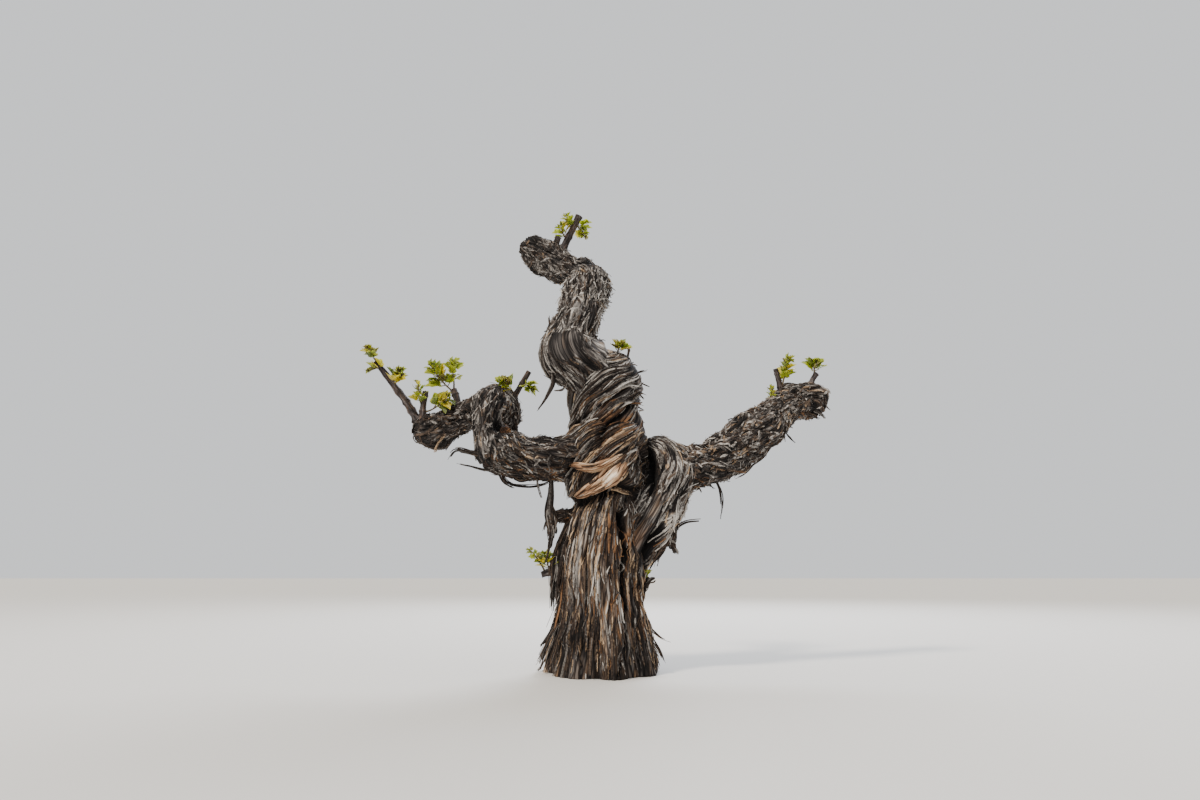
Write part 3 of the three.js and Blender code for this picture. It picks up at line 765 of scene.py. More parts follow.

# %% [markdown]
# The bark. Its furrows are painted near black, partly for rot and partly as the shade that fills them,
# its ridges are bleached silver by the sun, and strips that were shed lately show tan and rust-brown
# fibre. The height of the relief picks the colour, with painted shade in dents and shaded spots and
# painted highlights on bright spots, the tone of each strip shifts it between grey and brown, and a fine
# streak runs with the grain. Long cells with dark edges, ten times as long as wide, are the flakes too
# thin for the mesh. Bare wood and last year's canes are fibre too, so the same recipe serves them with
# other colours and a finer grain.

# %% Fibre materials
STRETCH = 0.1               # how much slower the pattern changes along the grain than across it
BLEACHED = [(0.18, "#090707"), (0.4, "#231f1e"), (0.58, "#4c4744"), (0.76, "#837d78"), (0.95, "#c6c0b8")]
BROWNED = [(0.16, "#090604"), (0.4, "#221913"), (0.58, "#463629"), (0.76, "#7a624c"), (0.95, "#b99d7c")]
RUSTED = [(0.12, "#0b0705"), (0.36, "#34231a"), (0.6, "#6b4a30"), (0.9, "#ab8158")]
SPLIT = [(0.14, "#140c07"), (0.34, "#5c3f2b"), (0.52, "#ab8261"), (0.72, "#d8b897"), (0.92, "#f6e6d0")]
STAINED = [(0.12, "#140d08"), (0.36, "#49301f"), (0.6, "#86603f"), (0.9, "#b8946b")]
SMOOTH_GREY = [(0.12, "#100d0c"), (0.36, "#2d2726"), (0.6, "#4e4644"), (0.9, "#807673")]
SMOOTH_BROWN = [(0.12, "#0f0a07"), (0.36, "#2a1f19"), (0.6, "#48372c"), (0.9, "#765d4a")]


def fibrous(name, wide, pale, brown, rust, dark_edges, roughness=0.88):
    """Dead fibre, split along the grain. wide is the width of one flake in metres. pale, brown and rust
    are ramps from the bottom of a furrow, painted near black partly as rot and partly as its shade, to its
    top, and dark_edges is how much darker a flake's edge is. A point's place on the ramps is its height
    attribute, which holds the painted shade and highlights, plus half a fine streak."""
    made, tree, shader = new_material(name, roughness, 0.25)
    fibre = add(tree, "Attribute", attribute_name="fibre").outputs["Vector"]
    # The height attribute carries painted shade: it is low in furrows, dents and shaded spots and high on
    # painted highlights.
    height = add(tree, "Attribute", attribute_name="height").outputs["Fac"]
    tone = add(tree, "Attribute", attribute_name="tone").outputs["Fac"]
    warm = add(tree, "Attribute", attribute_name="warm").outputs["Fac"]
    streak = add(tree, "TexNoise", {"Vector": fibre, "Scale": 1 / wide, "Detail": 5.0}).outputs["Fac"]
    blotch = add(tree, "TexNoise", {"Vector": fibre, "Scale": 60.0, "Detail": 2.0}).outputs["Fac"]
    push = add(tree, "TexNoise", {"Vector": fibre, "Scale": 0.5 / wide}).outputs["Color"]
    bent = add(tree, "VectorMath", {0: push, 1: (wide, wide, wide), 2: fibre},
               operation="MULTIPLY_ADD").outputs[0]
    cell = {"Vector": bent, "Scale": 1 / wide}
    edge = add(tree, "TexVoronoi", cell, feature="DISTANCE_TO_EDGE").outputs["Distance"]
    flake = add(tree, "TexVoronoi", cell).outputs["Color"]
    crack = add(tree, "MapRange", {"Value": edge, "From Max": 0.18}).outputs["Result"]
    lift = add(tree, "Math", {0: crack, 1: dark_edges, 2: height}, operation="MULTIPLY_ADD").outputs[0]
    mixed = add(tree, "Math", {0: streak, 1: 0.55, 2: lift}, operation="MULTIPLY_ADD").outputs[0]
    level = add(tree, "Math", {0: mixed, 1: 0.22 + dark_edges}, operation="SUBTRACT").outputs[0]
    ramps = [add(tree, "ValToRGB", {"Fac": level}, stops=stops).outputs["Color"]
             for stops in (pale, brown, rust)]
    mixed_tone = add(tree, "Mix", {0: 0.5, 2: tone, 3: flake}).outputs[0]
    older = add(tree, "MapRange", {"Value": mixed_tone, "From Min": 0.45, "From Max": 0.8}).outputs["Result"]
    dead = add(tree, "Mix", {0: older, 6: ramps[0], 7: ramps[1]}, data_type="RGBA").outputs[2]
    lately = add(tree, "Math", {0: warm, 1: blotch}, operation="ADD").outputs[0]
    shed = add(tree, "MapRange", {"Value": lately, "From Min": 0.9, "From Max": 1.25}).outputs["Result"]
    colour = add(tree, "Mix", {0: shed, 6: dead, 7: ramps[2]}, data_type="RGBA").outputs[2]
    relief = add(tree, "Math", {0: crack, 1: 0.5, 2: streak}, operation="MULTIPLY_ADD").outputs[0]
    bump = add(tree, "Bump", {"Height": relief, "Strength": 0.9, "Distance": wide / 2.6})
    tree.links.new(colour, shader.inputs["Base Color"])
    tree.links.new(bump.outputs["Normal"], shader.inputs["Normal"])
    return made


# Peeled and bleached by weather: the eye sees silver ridges, black furrows and some rust between.
BARK = fibrous("weathered_vine_bark", 4 * MM, BLEACHED, BROWNED, RUSTED, 0.24)
# Torn open and dried: a fine pale grain that shines a little.
WOOD = fibrous("split_bare_wood", 2 * MM, SPLIT, SPLIT, STAINED, 0.16, 0.7)
# Sawn across and left for years: as brown as tea, with wide cracks.
CUT = fibrous("weathered_cut_wood", 3 * MM, STAINED, STAINED, RUSTED, 0.2, 0.8)
# Grown in one summer: smooth, grey and finely ribbed.
CANE = fibrous("last_years_cane", 1.6 * MM, SMOOTH_GREY, SMOOTH_BROWN, SMOOTH_BROWN, 0.14, 0.75)
print("fibre materials:", [material.name for material in (BARK, WOOD, CUT, CANE)])

# %% [markdown]
# A limb's skin is a grid. Its columns don't run straight along the limb but wind with the fibres, so
# that the narrow furrows fall along the mesh's own edges and stay crisp. Rows can be twice as far apart
# as columns, because bark changes slowly along the grain.

# %% Limb skins
CAP_ROWS = 12               # rows of the domed end
MID_BARK = 0.45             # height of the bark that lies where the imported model's skin does
PLAIN_BARK = 0.62           # height that decides the colour where the relief is turned down
DEEPEST = 9 * MM            # a dent this deep gets the darkest painted shade, by this share
DENT_SHADE = 0.75            # by this share
GROUND_ROWS = 5             # rows over which the trunk's foot is made level


def limb_rows(limb, along):
    """Shares along the limb at even distances, from the ground up on the trunk."""
    line = limb["line"]
    first = 1 / (len(limb["stations"]) - 1) if limb["name"] == "trunk" else 0
    low = np.interp(first, line["share"], line["run"])
    count = int((line["run"][-1] - low) / along)
    return np.interp(np.linspace(low, line["run"][-1], count), line["run"], line["share"])


def limb_skin(limb, across=1.1, along=2.1):
    """A limb's whole skin, with points so many millimetres apart: plain skin plus bark along the
    outward direction, and a domed end whose rows shrink as a cosine while they move on as a sine. The
    bark's relief and colour fade to their means on the way, or they would run together in a star."""
    line = limb["line"]
    share = limb_rows(limb, along)
    columns = int(TAU * line["radius"].max() / (across * MM))
    wound = np.arange(columns) / columns * TAU
    share, wound = np.meshgrid(share, wound, indexing="ij")
    angle = wound + grain(limb, share)
    points, out, gap, dent = plain_skin(limb, share, angle)
    height, tone = bark(limb, share, angle)
    rough = roughness(limb, share, angle, points)
    lit = light_left(limb, points, out)
    # Painted shade: the seam, hollows, creases, slots, the stem's hollow and the hood's dip are darkened by
    # their depth.
    deep = np.clip(-dent / DEEPEST, 0, 1)
    points = points + ((height - MID_BARK) * rough * limb["depth"] * MM)[..., None] * out
    if limb["name"] == "trunk":
        fade = np.exp(-np.arange(len(points)) / GROUND_ROWS)[:, None]
        points[..., 2] -= points[0, :, 2][None] * fade
    t = np.arange(1, CAP_ROWS) / CAP_ROWS * math.pi / 2
    centre = points[-1].mean(axis=0)
    onward = line["along"][-1] * limb["dome"] * line["radius"][-1]
    shrink = np.cos(t)[:, None, None]
    rim = points[-1] - centre
    even = unit(rim) * np.linalg.norm(rim, axis=1).mean()
    cap = centre + (even + (rim - even) * shrink) * shrink + onward * np.sin(t)[:, None, None]
    points = np.concatenate([points, cap])
    rows = len(points)

    def with_ends(values):
        """Values on the grid, fading over the dome to their mean, and those of the two end points."""
        grid = values.reshape(*values.shape[:2], -1)
        mean = grid[-1].mean(axis=0)
        dome = mean + (grid[-1] - mean) * shrink
        flat = np.concatenate([grid, dome]).reshape(rows * columns, -1)
        return np.concatenate([flat, flat[:columns].mean(0)[None], mean[None]])

    ends = np.stack([points[0].mean(axis=0), centre + onward])
    run = pick(line, "run", share) * MM
    ring = limb["girth"] * MM / TAU
    fibre = np.stack([ring * np.cos(wound), ring * np.sin(wound), run * STRETCH], axis=-1)
    # The colour level: the bark's height with painted shade in dents and on shaded spots, and painted
    # highlights on bright spots; dents also lose their rust.
    level = (height * rough + PLAIN_BARK * (1 - rough)) * (1 - DENT_SHADE * deep) * lit
    warm = (warmth(limb, points[:len(out)], out) + 0.1 * (1 - rough)) * (1 - deep)
    return mesh_of(
        limb["name"] + "_skin", np.concatenate([points.reshape(-1, 3), ends]), tube_faces(rows, columns),
        fibre=with_ends(fibre), height=with_ends(level), tone=with_ends(tone), warm=with_ends(warm))


for name, limb in LIMBS.items():
    slot = "trunk_bark" if name in ("trunk", "right_stem", "column_lower") else "arm_bark"
    skin = limb_skin(limb, 1.2, 2.4) if name == "trunk" else limb_skin(limb)
    piece(name + "_bark", skin, BARK, slot, name)

# %% [markdown]
# Two folds of bare wood show in front, where the trunk once healed over a wound and then split again.
# A healed edge rolls inwards like a lip, so each is a limb of its own with a flattened section, a fine
# lengthwise grain and no collar.

# %% Folds of bare wood
FOLDS = {
    "wood_lip": {"squash": 0.74, "slot": (-42, 2.8, 12), "stations": [
        [-38, -43, 267, 0.3], [-20, -54, 276, 0.75], [2, -60, 287, 1.05], [20, -60, 300, 1.3],
        [34, -54, 315, 1], [37, -44, 327, 0.4]]},
    "wood_fold": {"squash": 0.46, "stations": [
        [-52, -36, 321, 0.4], [-30, -54, 312, 0.8], [-6, -62, 310, 1], [14, -63, 317, 1.1],
        [28, -57, 326, 0.9], [42, -46, 335, 0.4]]},
}
for fold in FOLDS.values():
    fold.update(size=1.1 * LIP, flutes=4, relief=0.1, turns=-0.12, dome=0.5, strand=2.8, length=44, depth=4.6,
                warm=0.15, collar=0.1 * MM, boxy=2.4, lump=3)
prepare(FOLDS, 200)
for name, fold in FOLDS.items():
    piece(name + "_grain", limb_skin(fold, 0.6, 1.2), WOOD, "bare_wood", name)

# %% [markdown]
# Each winter the canes are cut back to spurs with a bud or two. A cane is smooth and finely ribbed, and
# swells at each node, where a leaf stood. The cut across it stays flat and greys in a year. In the left
# arm's hollow stands the thicker stub of a branch that was sawn off.

# %% Spurs
NODE_GAP = 26               # millimetres from one node of a cane to the next
SPURS = {
    "top_spur": [[-76, 30, 718, 1.25], [-66, 28, 750, 1.1], [-51, 25, 782, 1], [-40, 22, 806, 1.2]],
    "top_stub": [[-92, 28, 726, 1.1], [-84, 24, 746, 1], [-79, 21, 762, 0.95]],
    "knuckle_twig": [[42, -6, 488, 0.5], [48, -8, 513, 0.35], [51, -8, 530, 0.25]],
    "long_cane": [[-310, 20, 394, 1.4], [-330, 19, 426, 1.1], [-352, 15, 456, 0.9], [-395, 4, 510, 0.75]],
    "short_spur": [[-307, 12, 402, 1.3], [-307, 8, 428, 0.9], [-303, 2, 455, 0.85]],
    "back_spur": [[-243, 6, 404, 1.2], [-249, 12, 440, 0.95], [-258, 16, 462, 0.95]],
    "knob_spur": [[-158, -6, 428, 1], [-141, -5, 456, 0.75], [-123, -8, 488, 0.7]],
    "near_spur": [[338, 72, 458, 1.1], [330, 67, 492, 0.8], [324, 63, 515, 0.75]],
    "tip_spur": [[386, 88, 474, 1.1], [398, 91, 498, 0.85], [409, 94, 515, 0.8]],
    "left_dead_stub": [[-40, -10, 242, 1.6], [-58, -16, 240, 1.5], [-75, -22, 238, 1.3]],
    "left_sucker_stub": [[-58, -10, 156, 1.1], [-78, -14, 152, 0.9], [-93, -16, 147, 0.7]],
    "right_sucker_stub": [[50, 2, 116, 1.3], [68, 4, 128, 1.1], [80, 5, 142, 0.8]],
}
SPURS = {name: {"stations": stations} for name, stations in SPURS.items()}
for spur in SPURS.values():
    spur.update(size=0.86 * SPUR, flutes=3, relief=0.06, turns=0, dome=0.1, strand=2.2, length=30,
                depth=1.4, warm=0.3, collar=8 * MM, lump=0.5)
prepare(SPURS, 300)
for name, spur in SPURS.items():
    spur["knots"] = np.arange(NODE_GAP * 0.8, spur["mm_long"], NODE_GAP) / spur["mm_long"]
    piece(name + "_wood", limb_skin(spur, 0.7, 1.3), CANE, "cane", name)

# %% The stub in the hollow
STUB = {
    "stations": [[-164, -20, 386, 1.2], [-158, -42, 377, 1.2], [-152, -63, 370, 1.15]],
    "size": SPUR, "flutes": 3, "relief": 0.04, "turns": 0, "dome": 0.05, "strand": 2.2, "length": 20,
    "depth": 1, "warm": 0.9, "collar": 1 * MM, "lump": 0.3,
}
prepare({"hollow_stub": STUB}, 450)
piece("hollow_stub_wood", limb_skin(STUB, 0.8, 1.4), CUT, "cane")

# %% [markdown]
# Loose bark. Most of what the eye takes for bark on an old vine is a thatch of thin strips, each held
# at one end. A strip is a ribbon whose section is a low roof: two edges on the wood and a ridge between
# them, so that one side always catches the light. Ribbons follow the relief under them, rise towards
# the free end and hang a little there. All the ribbons of a limb are worked out at once, as arrays with
# one row for each ribbon. The furrows are left open, because they are what makes bark look deep.

# %% Ribbons
KINDS = ["silver", "ash", "umber", "black", "tan", "rust"]
USUAL = [0.2, 0.3, 0.28, 0.17, 0.05]        # how often each of the first five is met
THATCH = {kind: [] for kind in KINDS}       # ribbons and how far they rise, which sets their painted shade, by colour


def ribbons(middle, out, width, thick, skew):
    """Corners of ribbons from their middle lines (ribbon, step, 3), outward directions, widths and
    thicknesses: left edge, right edge and ridge at each step. skew moves a ribbon's ridge to one side,
    by a share of its half width."""
    tangent = unit(np.gradient(middle, axis=1))
    side = unit(np.cross(out, tangent))
    roof = np.cross(tangent, side)
    half = (width / 2)[..., None] * side
    ridge = middle + thick[..., None] * roof + skew[:, None, None] * half
    return np.stack([middle - half, middle + half, ridge], axis=2)


print("a ribbon of 6 steps has", sum(map(len, rod_faces(1, 6, 3))), "faces")

# %% [markdown]
# The thatch itself. A strip starts at a random place, points a little off the grain, sways, and lifts by
# a power of its length, so that only its free end leaves the wood. Those that would cross another limb,
# a furrow, a smooth place or the trunk's overhanging edge are dropped afterwards, which keeps the rest
# where they were drawn.

# %% Thatch over a limb
TRUNK_START = 40            # height in millimetres below which no strip is fixed to the trunk
RUST_GAIN = 1.1             # how often a strip is rust-brown, against how warm the bark under it is
LOWEST = 0.6 * MM           # how far above the ground a strip stays
TOUCH = -1.5 * MM           # gap to another limb or a fold, below which a strip is dropped
DEEP_DENT = -3.5 * MM       # dent in the limb below which none is laid
RIDGE_FROM = 0.36           # least mean height of the relief under a strip, which keeps furrows open
ROUGH_FROM = 0.6            # least roughness under a strip, which keeps smooth places bare


def thatch(limb, seed, cover, length, width, lift, slant, steps, head=None, usual=USUAL,
           sector=(0, 360), zone=(0, 1e4), power=3, thick=0.22):
    """Ribbons all over a limb. cover is how many times over they would cover it, length and width are
    ranges in millimetres, lift how far the free end rises at most, slant how far in degrees a ribbon
    strays from the grain, and head is 1 to point to the limb's tip, -1 to its root and None for both.
    sector and zone keep them to some angles and to some millimetres along it. A high power leaves most
    of them lying flat, and thick is how high a strip's roof is for its width."""
    line = limb["line"]
    draw = np.random.default_rng(seed)
    area = limb["girth"] * limb["mm_long"]
    count = int(cover * area / (np.mean(length) * np.mean(width)))
    low = TRUNK_START if limb["name"] == "trunk" else 0
    start = draw.uniform(low, limb["mm_long"], count)
    wound = draw.uniform(0, TAU, count)
    size = draw.uniform(*length, count)
    broad = draw.uniform(*width, count) * (0.6 + 0.4 * size / length[1])
    point = draw.choice([-1, 1], count) if head is None else np.full(count, head)
    tilt = np.radians(draw.normal(0, slant, count))
    rise = lift * draw.random(count) ** power
    wave, phase = draw.uniform(0.4, 1.8, count), draw.uniform(0, TAU, count)
    t = np.linspace(0, 1, steps)[None]
    run = start[:, None] + (point * size * np.cos(tilt))[:, None] * t
    inside = (run.min(axis=1) > low + 1) & (run.max(axis=1) < limb["mm_long"] + 4)
    share = np.interp(run, line["run"], line["share"])
    radius = pick(line, "radius", share) / MM
    sway = (size * np.sin(tilt))[:, None] * t + wave[:, None] * np.sin(3 * t + phase[:, None])
    angle = wound[:, None] + grain(limb, share) + sway / radius
    points, out, gap, dent = plain_skin(limb, share, angle)
    height, _ = bark(limb, share, angle)
    rise = rise * (1 - 0.6 * np.clip(-out[:, 0, 2], 0, 1))
    level = (height - MID_BARK) * limb["depth"] - 0.3 + rise[:, None] * t**2.2
    points = points + (level * MM)[..., None] * out
    points[..., 2] -= (0.4 * rise[:, None] * t**3) * MM
    points[..., 2] = np.maximum(points[..., 2], LOWEST)
    ragged = 1 + 0.25 * np.sin(draw.uniform(4, 11, count)[:, None] * t + phase[:, None])
    taper = np.sin(math.pi * (0.2 + 0.74 * t)) ** 0.45 * ragged
    twist = draw.normal(0, 0.6, count)[:, None] * t**2 * (rise > 0.25 * lift)[:, None]
    tangent = unit(np.gradient(points, axis=1))
    turned = out * np.cos(twist)[..., None] + np.cross(tangent, out) * np.sin(twist)[..., None]
    skew = draw.uniform(-0.7, 0.7, count)
    high = (thick * broad + 0.2)[:, None] * taper * MM
    corners = ribbons(points, turned, broad[:, None] * taper * MM, high, skew)
    middle = steps // 2
    at = np.degrees(angle[:, middle]) % 360
    free = inside & (gap[:, 0] > TOUCH) & (gap.max(axis=1) > 0) & (height.mean(axis=1) > RIDGE_FROM)
    free &= dent[:, middle] > DEEP_DENT
    free &= (at - sector[0]) % 360 <= sector[1] - sector[0]
    free &= (start > zone[0]) & (start < zone[1])
    free &= roughness(limb, share, angle, points).min(axis=1) > ROUGH_FROM
    if limb["name"] in ("trunk", "column_lower"):
        free &= np.min([gap_to(fold, points[:, middle]) for fold in FOLDS.values()], axis=0) > TOUCH
    if limb["name"] == "trunk":
        over = points[..., 2] / MM - np.interp(points[..., 0] / MM, HOOD_X, HOOD_Z)
        free &= (over.min(axis=1) > 0) | (over.max(axis=1) < -3) | (out[:, middle, 1] > -0.3)
    rusty = draw.random(count) < RUST_GAIN * (warmth(limb, points, out)[:, middle] - 0.15)
    kind = np.where(rusty, KINDS.index("rust"), draw.choice(5, count, p=usual))
    # Painted shade: a strip is darker where the bark under it is low and on shaded spots, and a little paler
    # towards its lifted free end and on highlight spots.
    stands = (height + 0.04 * rise[:, None] * t) * light_left(limb, points, out)
    for i, name in enumerate(KINDS):
        THATCH[name].append((corners[free & (kind == i)], stands[free & (kind == i)]))
    return int(free.sum())


print("kinds of strip:", dict(zip(KINDS, USUAL)), "and rust where the bark is warm")


# %% Flakes on a limb's end
FLAKE = (2.2, 5)            # width in millimetres


def end_flakes(limb, seed, count, usual):
    """Flakes that lie every way over a limb's domed end, where the grain would run to one point. Each
    is a straight strip of the rim's plane, lifted on to the dome: by the square root of 1 - r². Gives
    how many lie inside the rim."""
    line = limb["line"]
    draw = np.random.default_rng(seed)
    t = np.linspace(-0.5, 0.5, 5)[None]
    heading = draw.uniform(0, TAU, count)[:, None]
    size = draw.uniform(0.3, 0.8, count)[:, None]
    x = draw.uniform(-0.9, 0.9, count)[:, None] + size * np.cos(heading) * t
    y = draw.uniform(-0.9, 0.9, count)[:, None] + size * np.sin(heading) * t
    flat = x[..., None] * line["front"][-1] + y[..., None] * line["across"][-1]
    high = np.sqrt(np.clip(1 - x**2 - y**2, 0, 1))[..., None] * line["along"][-1]
    out = unit(limb["dome"] * flat + high)
    points = line["middle"][-1] + line["radius"][-1] * (flat + limb["dome"] * high) + MM * out
    broad = draw.uniform(*FLAKE, count)[:, None] * np.sin(math.pi * (0.7 + 0.5 * t) / 1.2) ** 0.45
    corners = ribbons(points, out, broad * MM, (0.25 * broad + 0.3) * MM, draw.uniform(-0.7, 0.7, count))
    stands = np.repeat(draw.uniform(0.35, 0.75, count)[:, None], 5, axis=1)
    fits = (x**2 + y**2).max(axis=1) < 0.94
    kind = draw.choice(5, count, p=usual)
    for i, name in enumerate(KINDS[:5]):
        THATCH[name].append((corners[fits & (kind == i)], stands[fits & (kind == i)]))
    return int(fits.sum())


print("flakes are", FLAKE, "mm wide")

# %% [markdown]
# Each limb gets its own coat of one or two layers: longer strips that follow the grain, and shorter
# ragged ones that stray from it. The trunk's strips are long and hang from their upper ends, those of
# the arms are short and crooked. Each limb also gets a few dark snags that stand off.

# %% Coats of thatch
FRESH = [0.1, 0.17, 0.3, 0.21, 0.22]        # how often each of the first five kinds is met
BRIGHT = [0.44, 0.26, 0.12, 0.12, 0.06]
PALE = [0.34, 0.3, 0.19, 0.12, 0.05]
STEEL = [0.32, 0.38, 0.11, 0.17, 0.02]
DARK = [0.06, 0.2, 0.32, 0.4, 0.02]
GRAINED = [0.2, 0.06, 0.14, 0.05, 0.55]
STRINGY = [dict(cover=0.75, length=(25, 80), width=(2.4, 4.8), lift=6, slant=5, steps=9, thick=0.45, head=-1),
           dict(cover=0.8, length=(10, 34), width=(1.6, 3), lift=6, slant=8, steps=6, thick=0.45)]
TWISTED = [dict(cover=0.75, length=(20, 60), width=(1.8, 3.6), lift=5, slant=6, steps=8, thick=0.5),
           dict(cover=0.6, length=(8, 26), width=(1.6, 3), lift=5, slant=14, steps=5, usual=PALE, power=2)]
SHAGGY = [dict(cover=0.6, length=(12, 36), width=(2.2, 4.6), lift=5, slant=14, steps=7, thick=0.4),
          dict(cover=0.9, length=(7, 19), width=(2, 4.4), lift=7.5, slant=32, steps=5, power=1.7)]
BROAD = [dict(cover=0.5, length=(12, 34), width=(2.2, 4.8), lift=5, slant=16, steps=6),
         dict(cover=1.5, length=(6, 18), width=(2, 5), lift=7, slant=32, steps=5, power=1.7)]
RAGGED = [dict(cover=1.8, length=(7, 20), width=(2.4, 5.4), lift=7, slant=30, steps=5, power=1.8)]
MIXED = [dict(cover=0.5, length=(12, 36), width=(1.8, 3.8), lift=6, slant=14, steps=6),
         dict(cover=1.4, length=(6, 18), width=(1.8, 4.4), lift=6.5, slant=30, steps=5, power=1.8)]
SNAGS = dict(cover=0.015, length=(8, 18), width=(1.2, 2.2), lift=9, slant=30, steps=5, usual=DARK, power=1)
COATS = {
    "trunk": (STRINGY, FRESH), "right_stem": (STRINGY, BRIGHT), "column_lower": (TWISTED, USUAL),
    "column_middle": (SHAGGY, STEEL), "column_top": (SHAGGY, STEEL), "left_arm": (MIXED, USUAL),
    "left_rise": (SHAGGY, STEEL), "left_knob": (MIXED, USUAL), "far_left_arm": (RAGGED, DARK),
    "right_arm": (BROAD, USUAL),
}
for i, (name, (coat, usual)) in enumerate(COATS.items()):
    seed = 500 + 10 * i
    made = [thatch(LIMBS[name], seed + k, **{"usual": usual, **layer}) for k, layer in enumerate(coat)]
    made.append(thatch(LIMBS[name], seed + 2, **SNAGS))
    print(name, "has layers of", made, "strips")

# %% Ends, patches, stubs and folds
ENDS = {"right_arm": USUAL, "far_left_arm": DARK, "column_top": STEEL, "left_knob": USUAL}
PATCHES = [                 # limb, seed, cover, length, width, lift, slant, steps and what else differs
    ("trunk", 900, 2, (40, 95), (3, 7), 15, 5, 9,
     dict(head=-1, usual=DARK, sector=(245, 300), zone=(60, 235), power=1.5)),
    ("trunk", 901, 1, (35, 70), (2, 4.5), 15, 6, 8,
     dict(head=-1, usual=DARK, sector=(55, 125), zone=(75, 140), power=1)),
    ("trunk", 902, 1, (35, 70), (2, 4.5), 15, 6, 8,
     dict(head=-1, usual=DARK, sector=(235, 305), zone=(75, 140), power=1)),
    ("column_lower", 903, 0.22, (10, 22), (2, 3.6), 15, 40, 6,
     dict(head=1, usual=DARK, sector=(40, 130), power=1)),
    ("right_stem", 905, 1.5, (14, 44), (2, 4.5), 13, 12, 7,
     dict(head=-1, sector=(50, 125), zone=(80, 259), power=1.2)),
    ("right_stem", 906, 1.3, (8, 26), (2, 4.4), 10, 20, 6,
     dict(usual=BRIGHT, sector=(270, 450), zone=(105, 259))),
    ("trunk", 907, 1.4, (8, 24), (2, 4.4), 9, 22, 6,
     dict(head=-1, sector=(25, 90), zone=(300, 400), power=1.5)),
    ("trunk", 908, 1.4, (8, 24), (2, 4.4), 9, 26, 6,
     dict(head=-1, sector=(270, 320), zone=(300, 400), power=1.5)),
    ("column_middle", 909, 0.9, (8, 20), (2, 4.4), 12, 35, 6,
     dict(usual=STEEL, sector=(40, 150), zone=(120, 260), power=1.3)),
    ("column_top", 910, 0.6, (8, 20), (2, 4.4), 11, 40, 6, dict(usual=DARK, power=1.3)),
    ("left_dead_stub", 904, 2.5, (6, 18), (1.5, 3.4), 7, 30, 5, dict(usual=DARK, power=1)),
]
for name, usual in ENDS.items():
    limb = LIMBS[name]
    count = int(5 * limb["line"]["radius"][-1] / MM)
    print(name, "ends in", end_flakes(limb, limb["seed"] + 8, count, usual), "flakes")
for name, seed, *sizes, rest in PATCHES:
    thatch({**LIMBS, **SPURS}[name], seed, *sizes, **rest)
for name in ("left_sucker_stub", "right_sucker_stub", "top_stub"):
    thatch(SPURS[name], SPURS[name]["seed"] + 5, 0.8, (5, 14), (1, 2), 3, 20, 5, usual=DARK, power=1)
for fold in FOLDS.values():
    thatch(fold, fold["seed"] + 5, 0.35, (10, 30), (1.2, 2.8), 3, 9, 6, usual=GRAINED)
print("strips in all:", sum(len(corners) for blocks in THATCH.values() for corners, _ in blocks))

# %% [markdown]
# The longest strips have come away and hang free. Each is a bundle of fibres that share a path, start
# and end at different places, and roll over on the way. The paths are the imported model's own, with
# thinner wisps beside them.

# %% Bundles of loose fibre
HANGING = {kind: [] for kind in KINDS}
BUNDLE_STEPS = 16           # points along each ribbon


def bundle(stations, size, seed, count, width, kinds, ends=(0.55, 1), starts=(0, 0.2), swing=0.8):
    """Ribbons along a path of stations, spread over half widths of size times the fourth number. starts
    and ends are the shares of the path between which they begin and end, swing how far they sway."""
    line = spine(stations, size)
    draw = np.random.default_rng(seed)
    first, last = draw.uniform(*starts, count), draw.uniform(*ends, count)
    last = np.maximum(last, first + 0.2)
    first[0], last[0] = 0, 1
    t = np.linspace(0, 1, BUNDLE_STEPS)[None]
    share = first[:, None] + (last - first)[:, None] * t
    radius = pick(line, "radius", share)
    phase = draw.uniform(0, TAU, count)
    sway = swing * MM * np.sin(draw.uniform(3, 9, count)[:, None] * t + phase[:, None])
    aside = draw.uniform(-0.75, 0.75, count)[:, None] * radius + sway
    before = draw.uniform(-0.4, 0.4, count)[:, None] * radius
    front, across = pick(line, "front", share), pick(line, "across", share)
    points = pick(line, "middle", share) + aside[..., None] * across + before[..., None] * front
    roll = draw.uniform(-0.7, 0.7, count)[:, None] + draw.normal(0, 1.3, count)[:, None] * t
    out = front * np.cos(roll)[..., None] + across * np.sin(roll)[..., None]
    broad = draw.uniform(*width, count)[:, None] * np.sin(math.pi * (0.14 + 0.8 * t)) ** 0.4
    skew = draw.uniform(-0.7, 0.7, count)
    corners = ribbons(points, out, broad * MM, (0.25 * broad + 0.25) * MM, skew)
    for ribbon in range(count):
        kind = kinds[draw.integers(len(kinds))]
        HANGING[kind].append((corners[ribbon:ribbon + 1], np.full((1, BUNDLE_STEPS), draw.uniform(0.3, 0.8))))


print("each loose ribbon has", BUNDLE_STEPS, "steps")

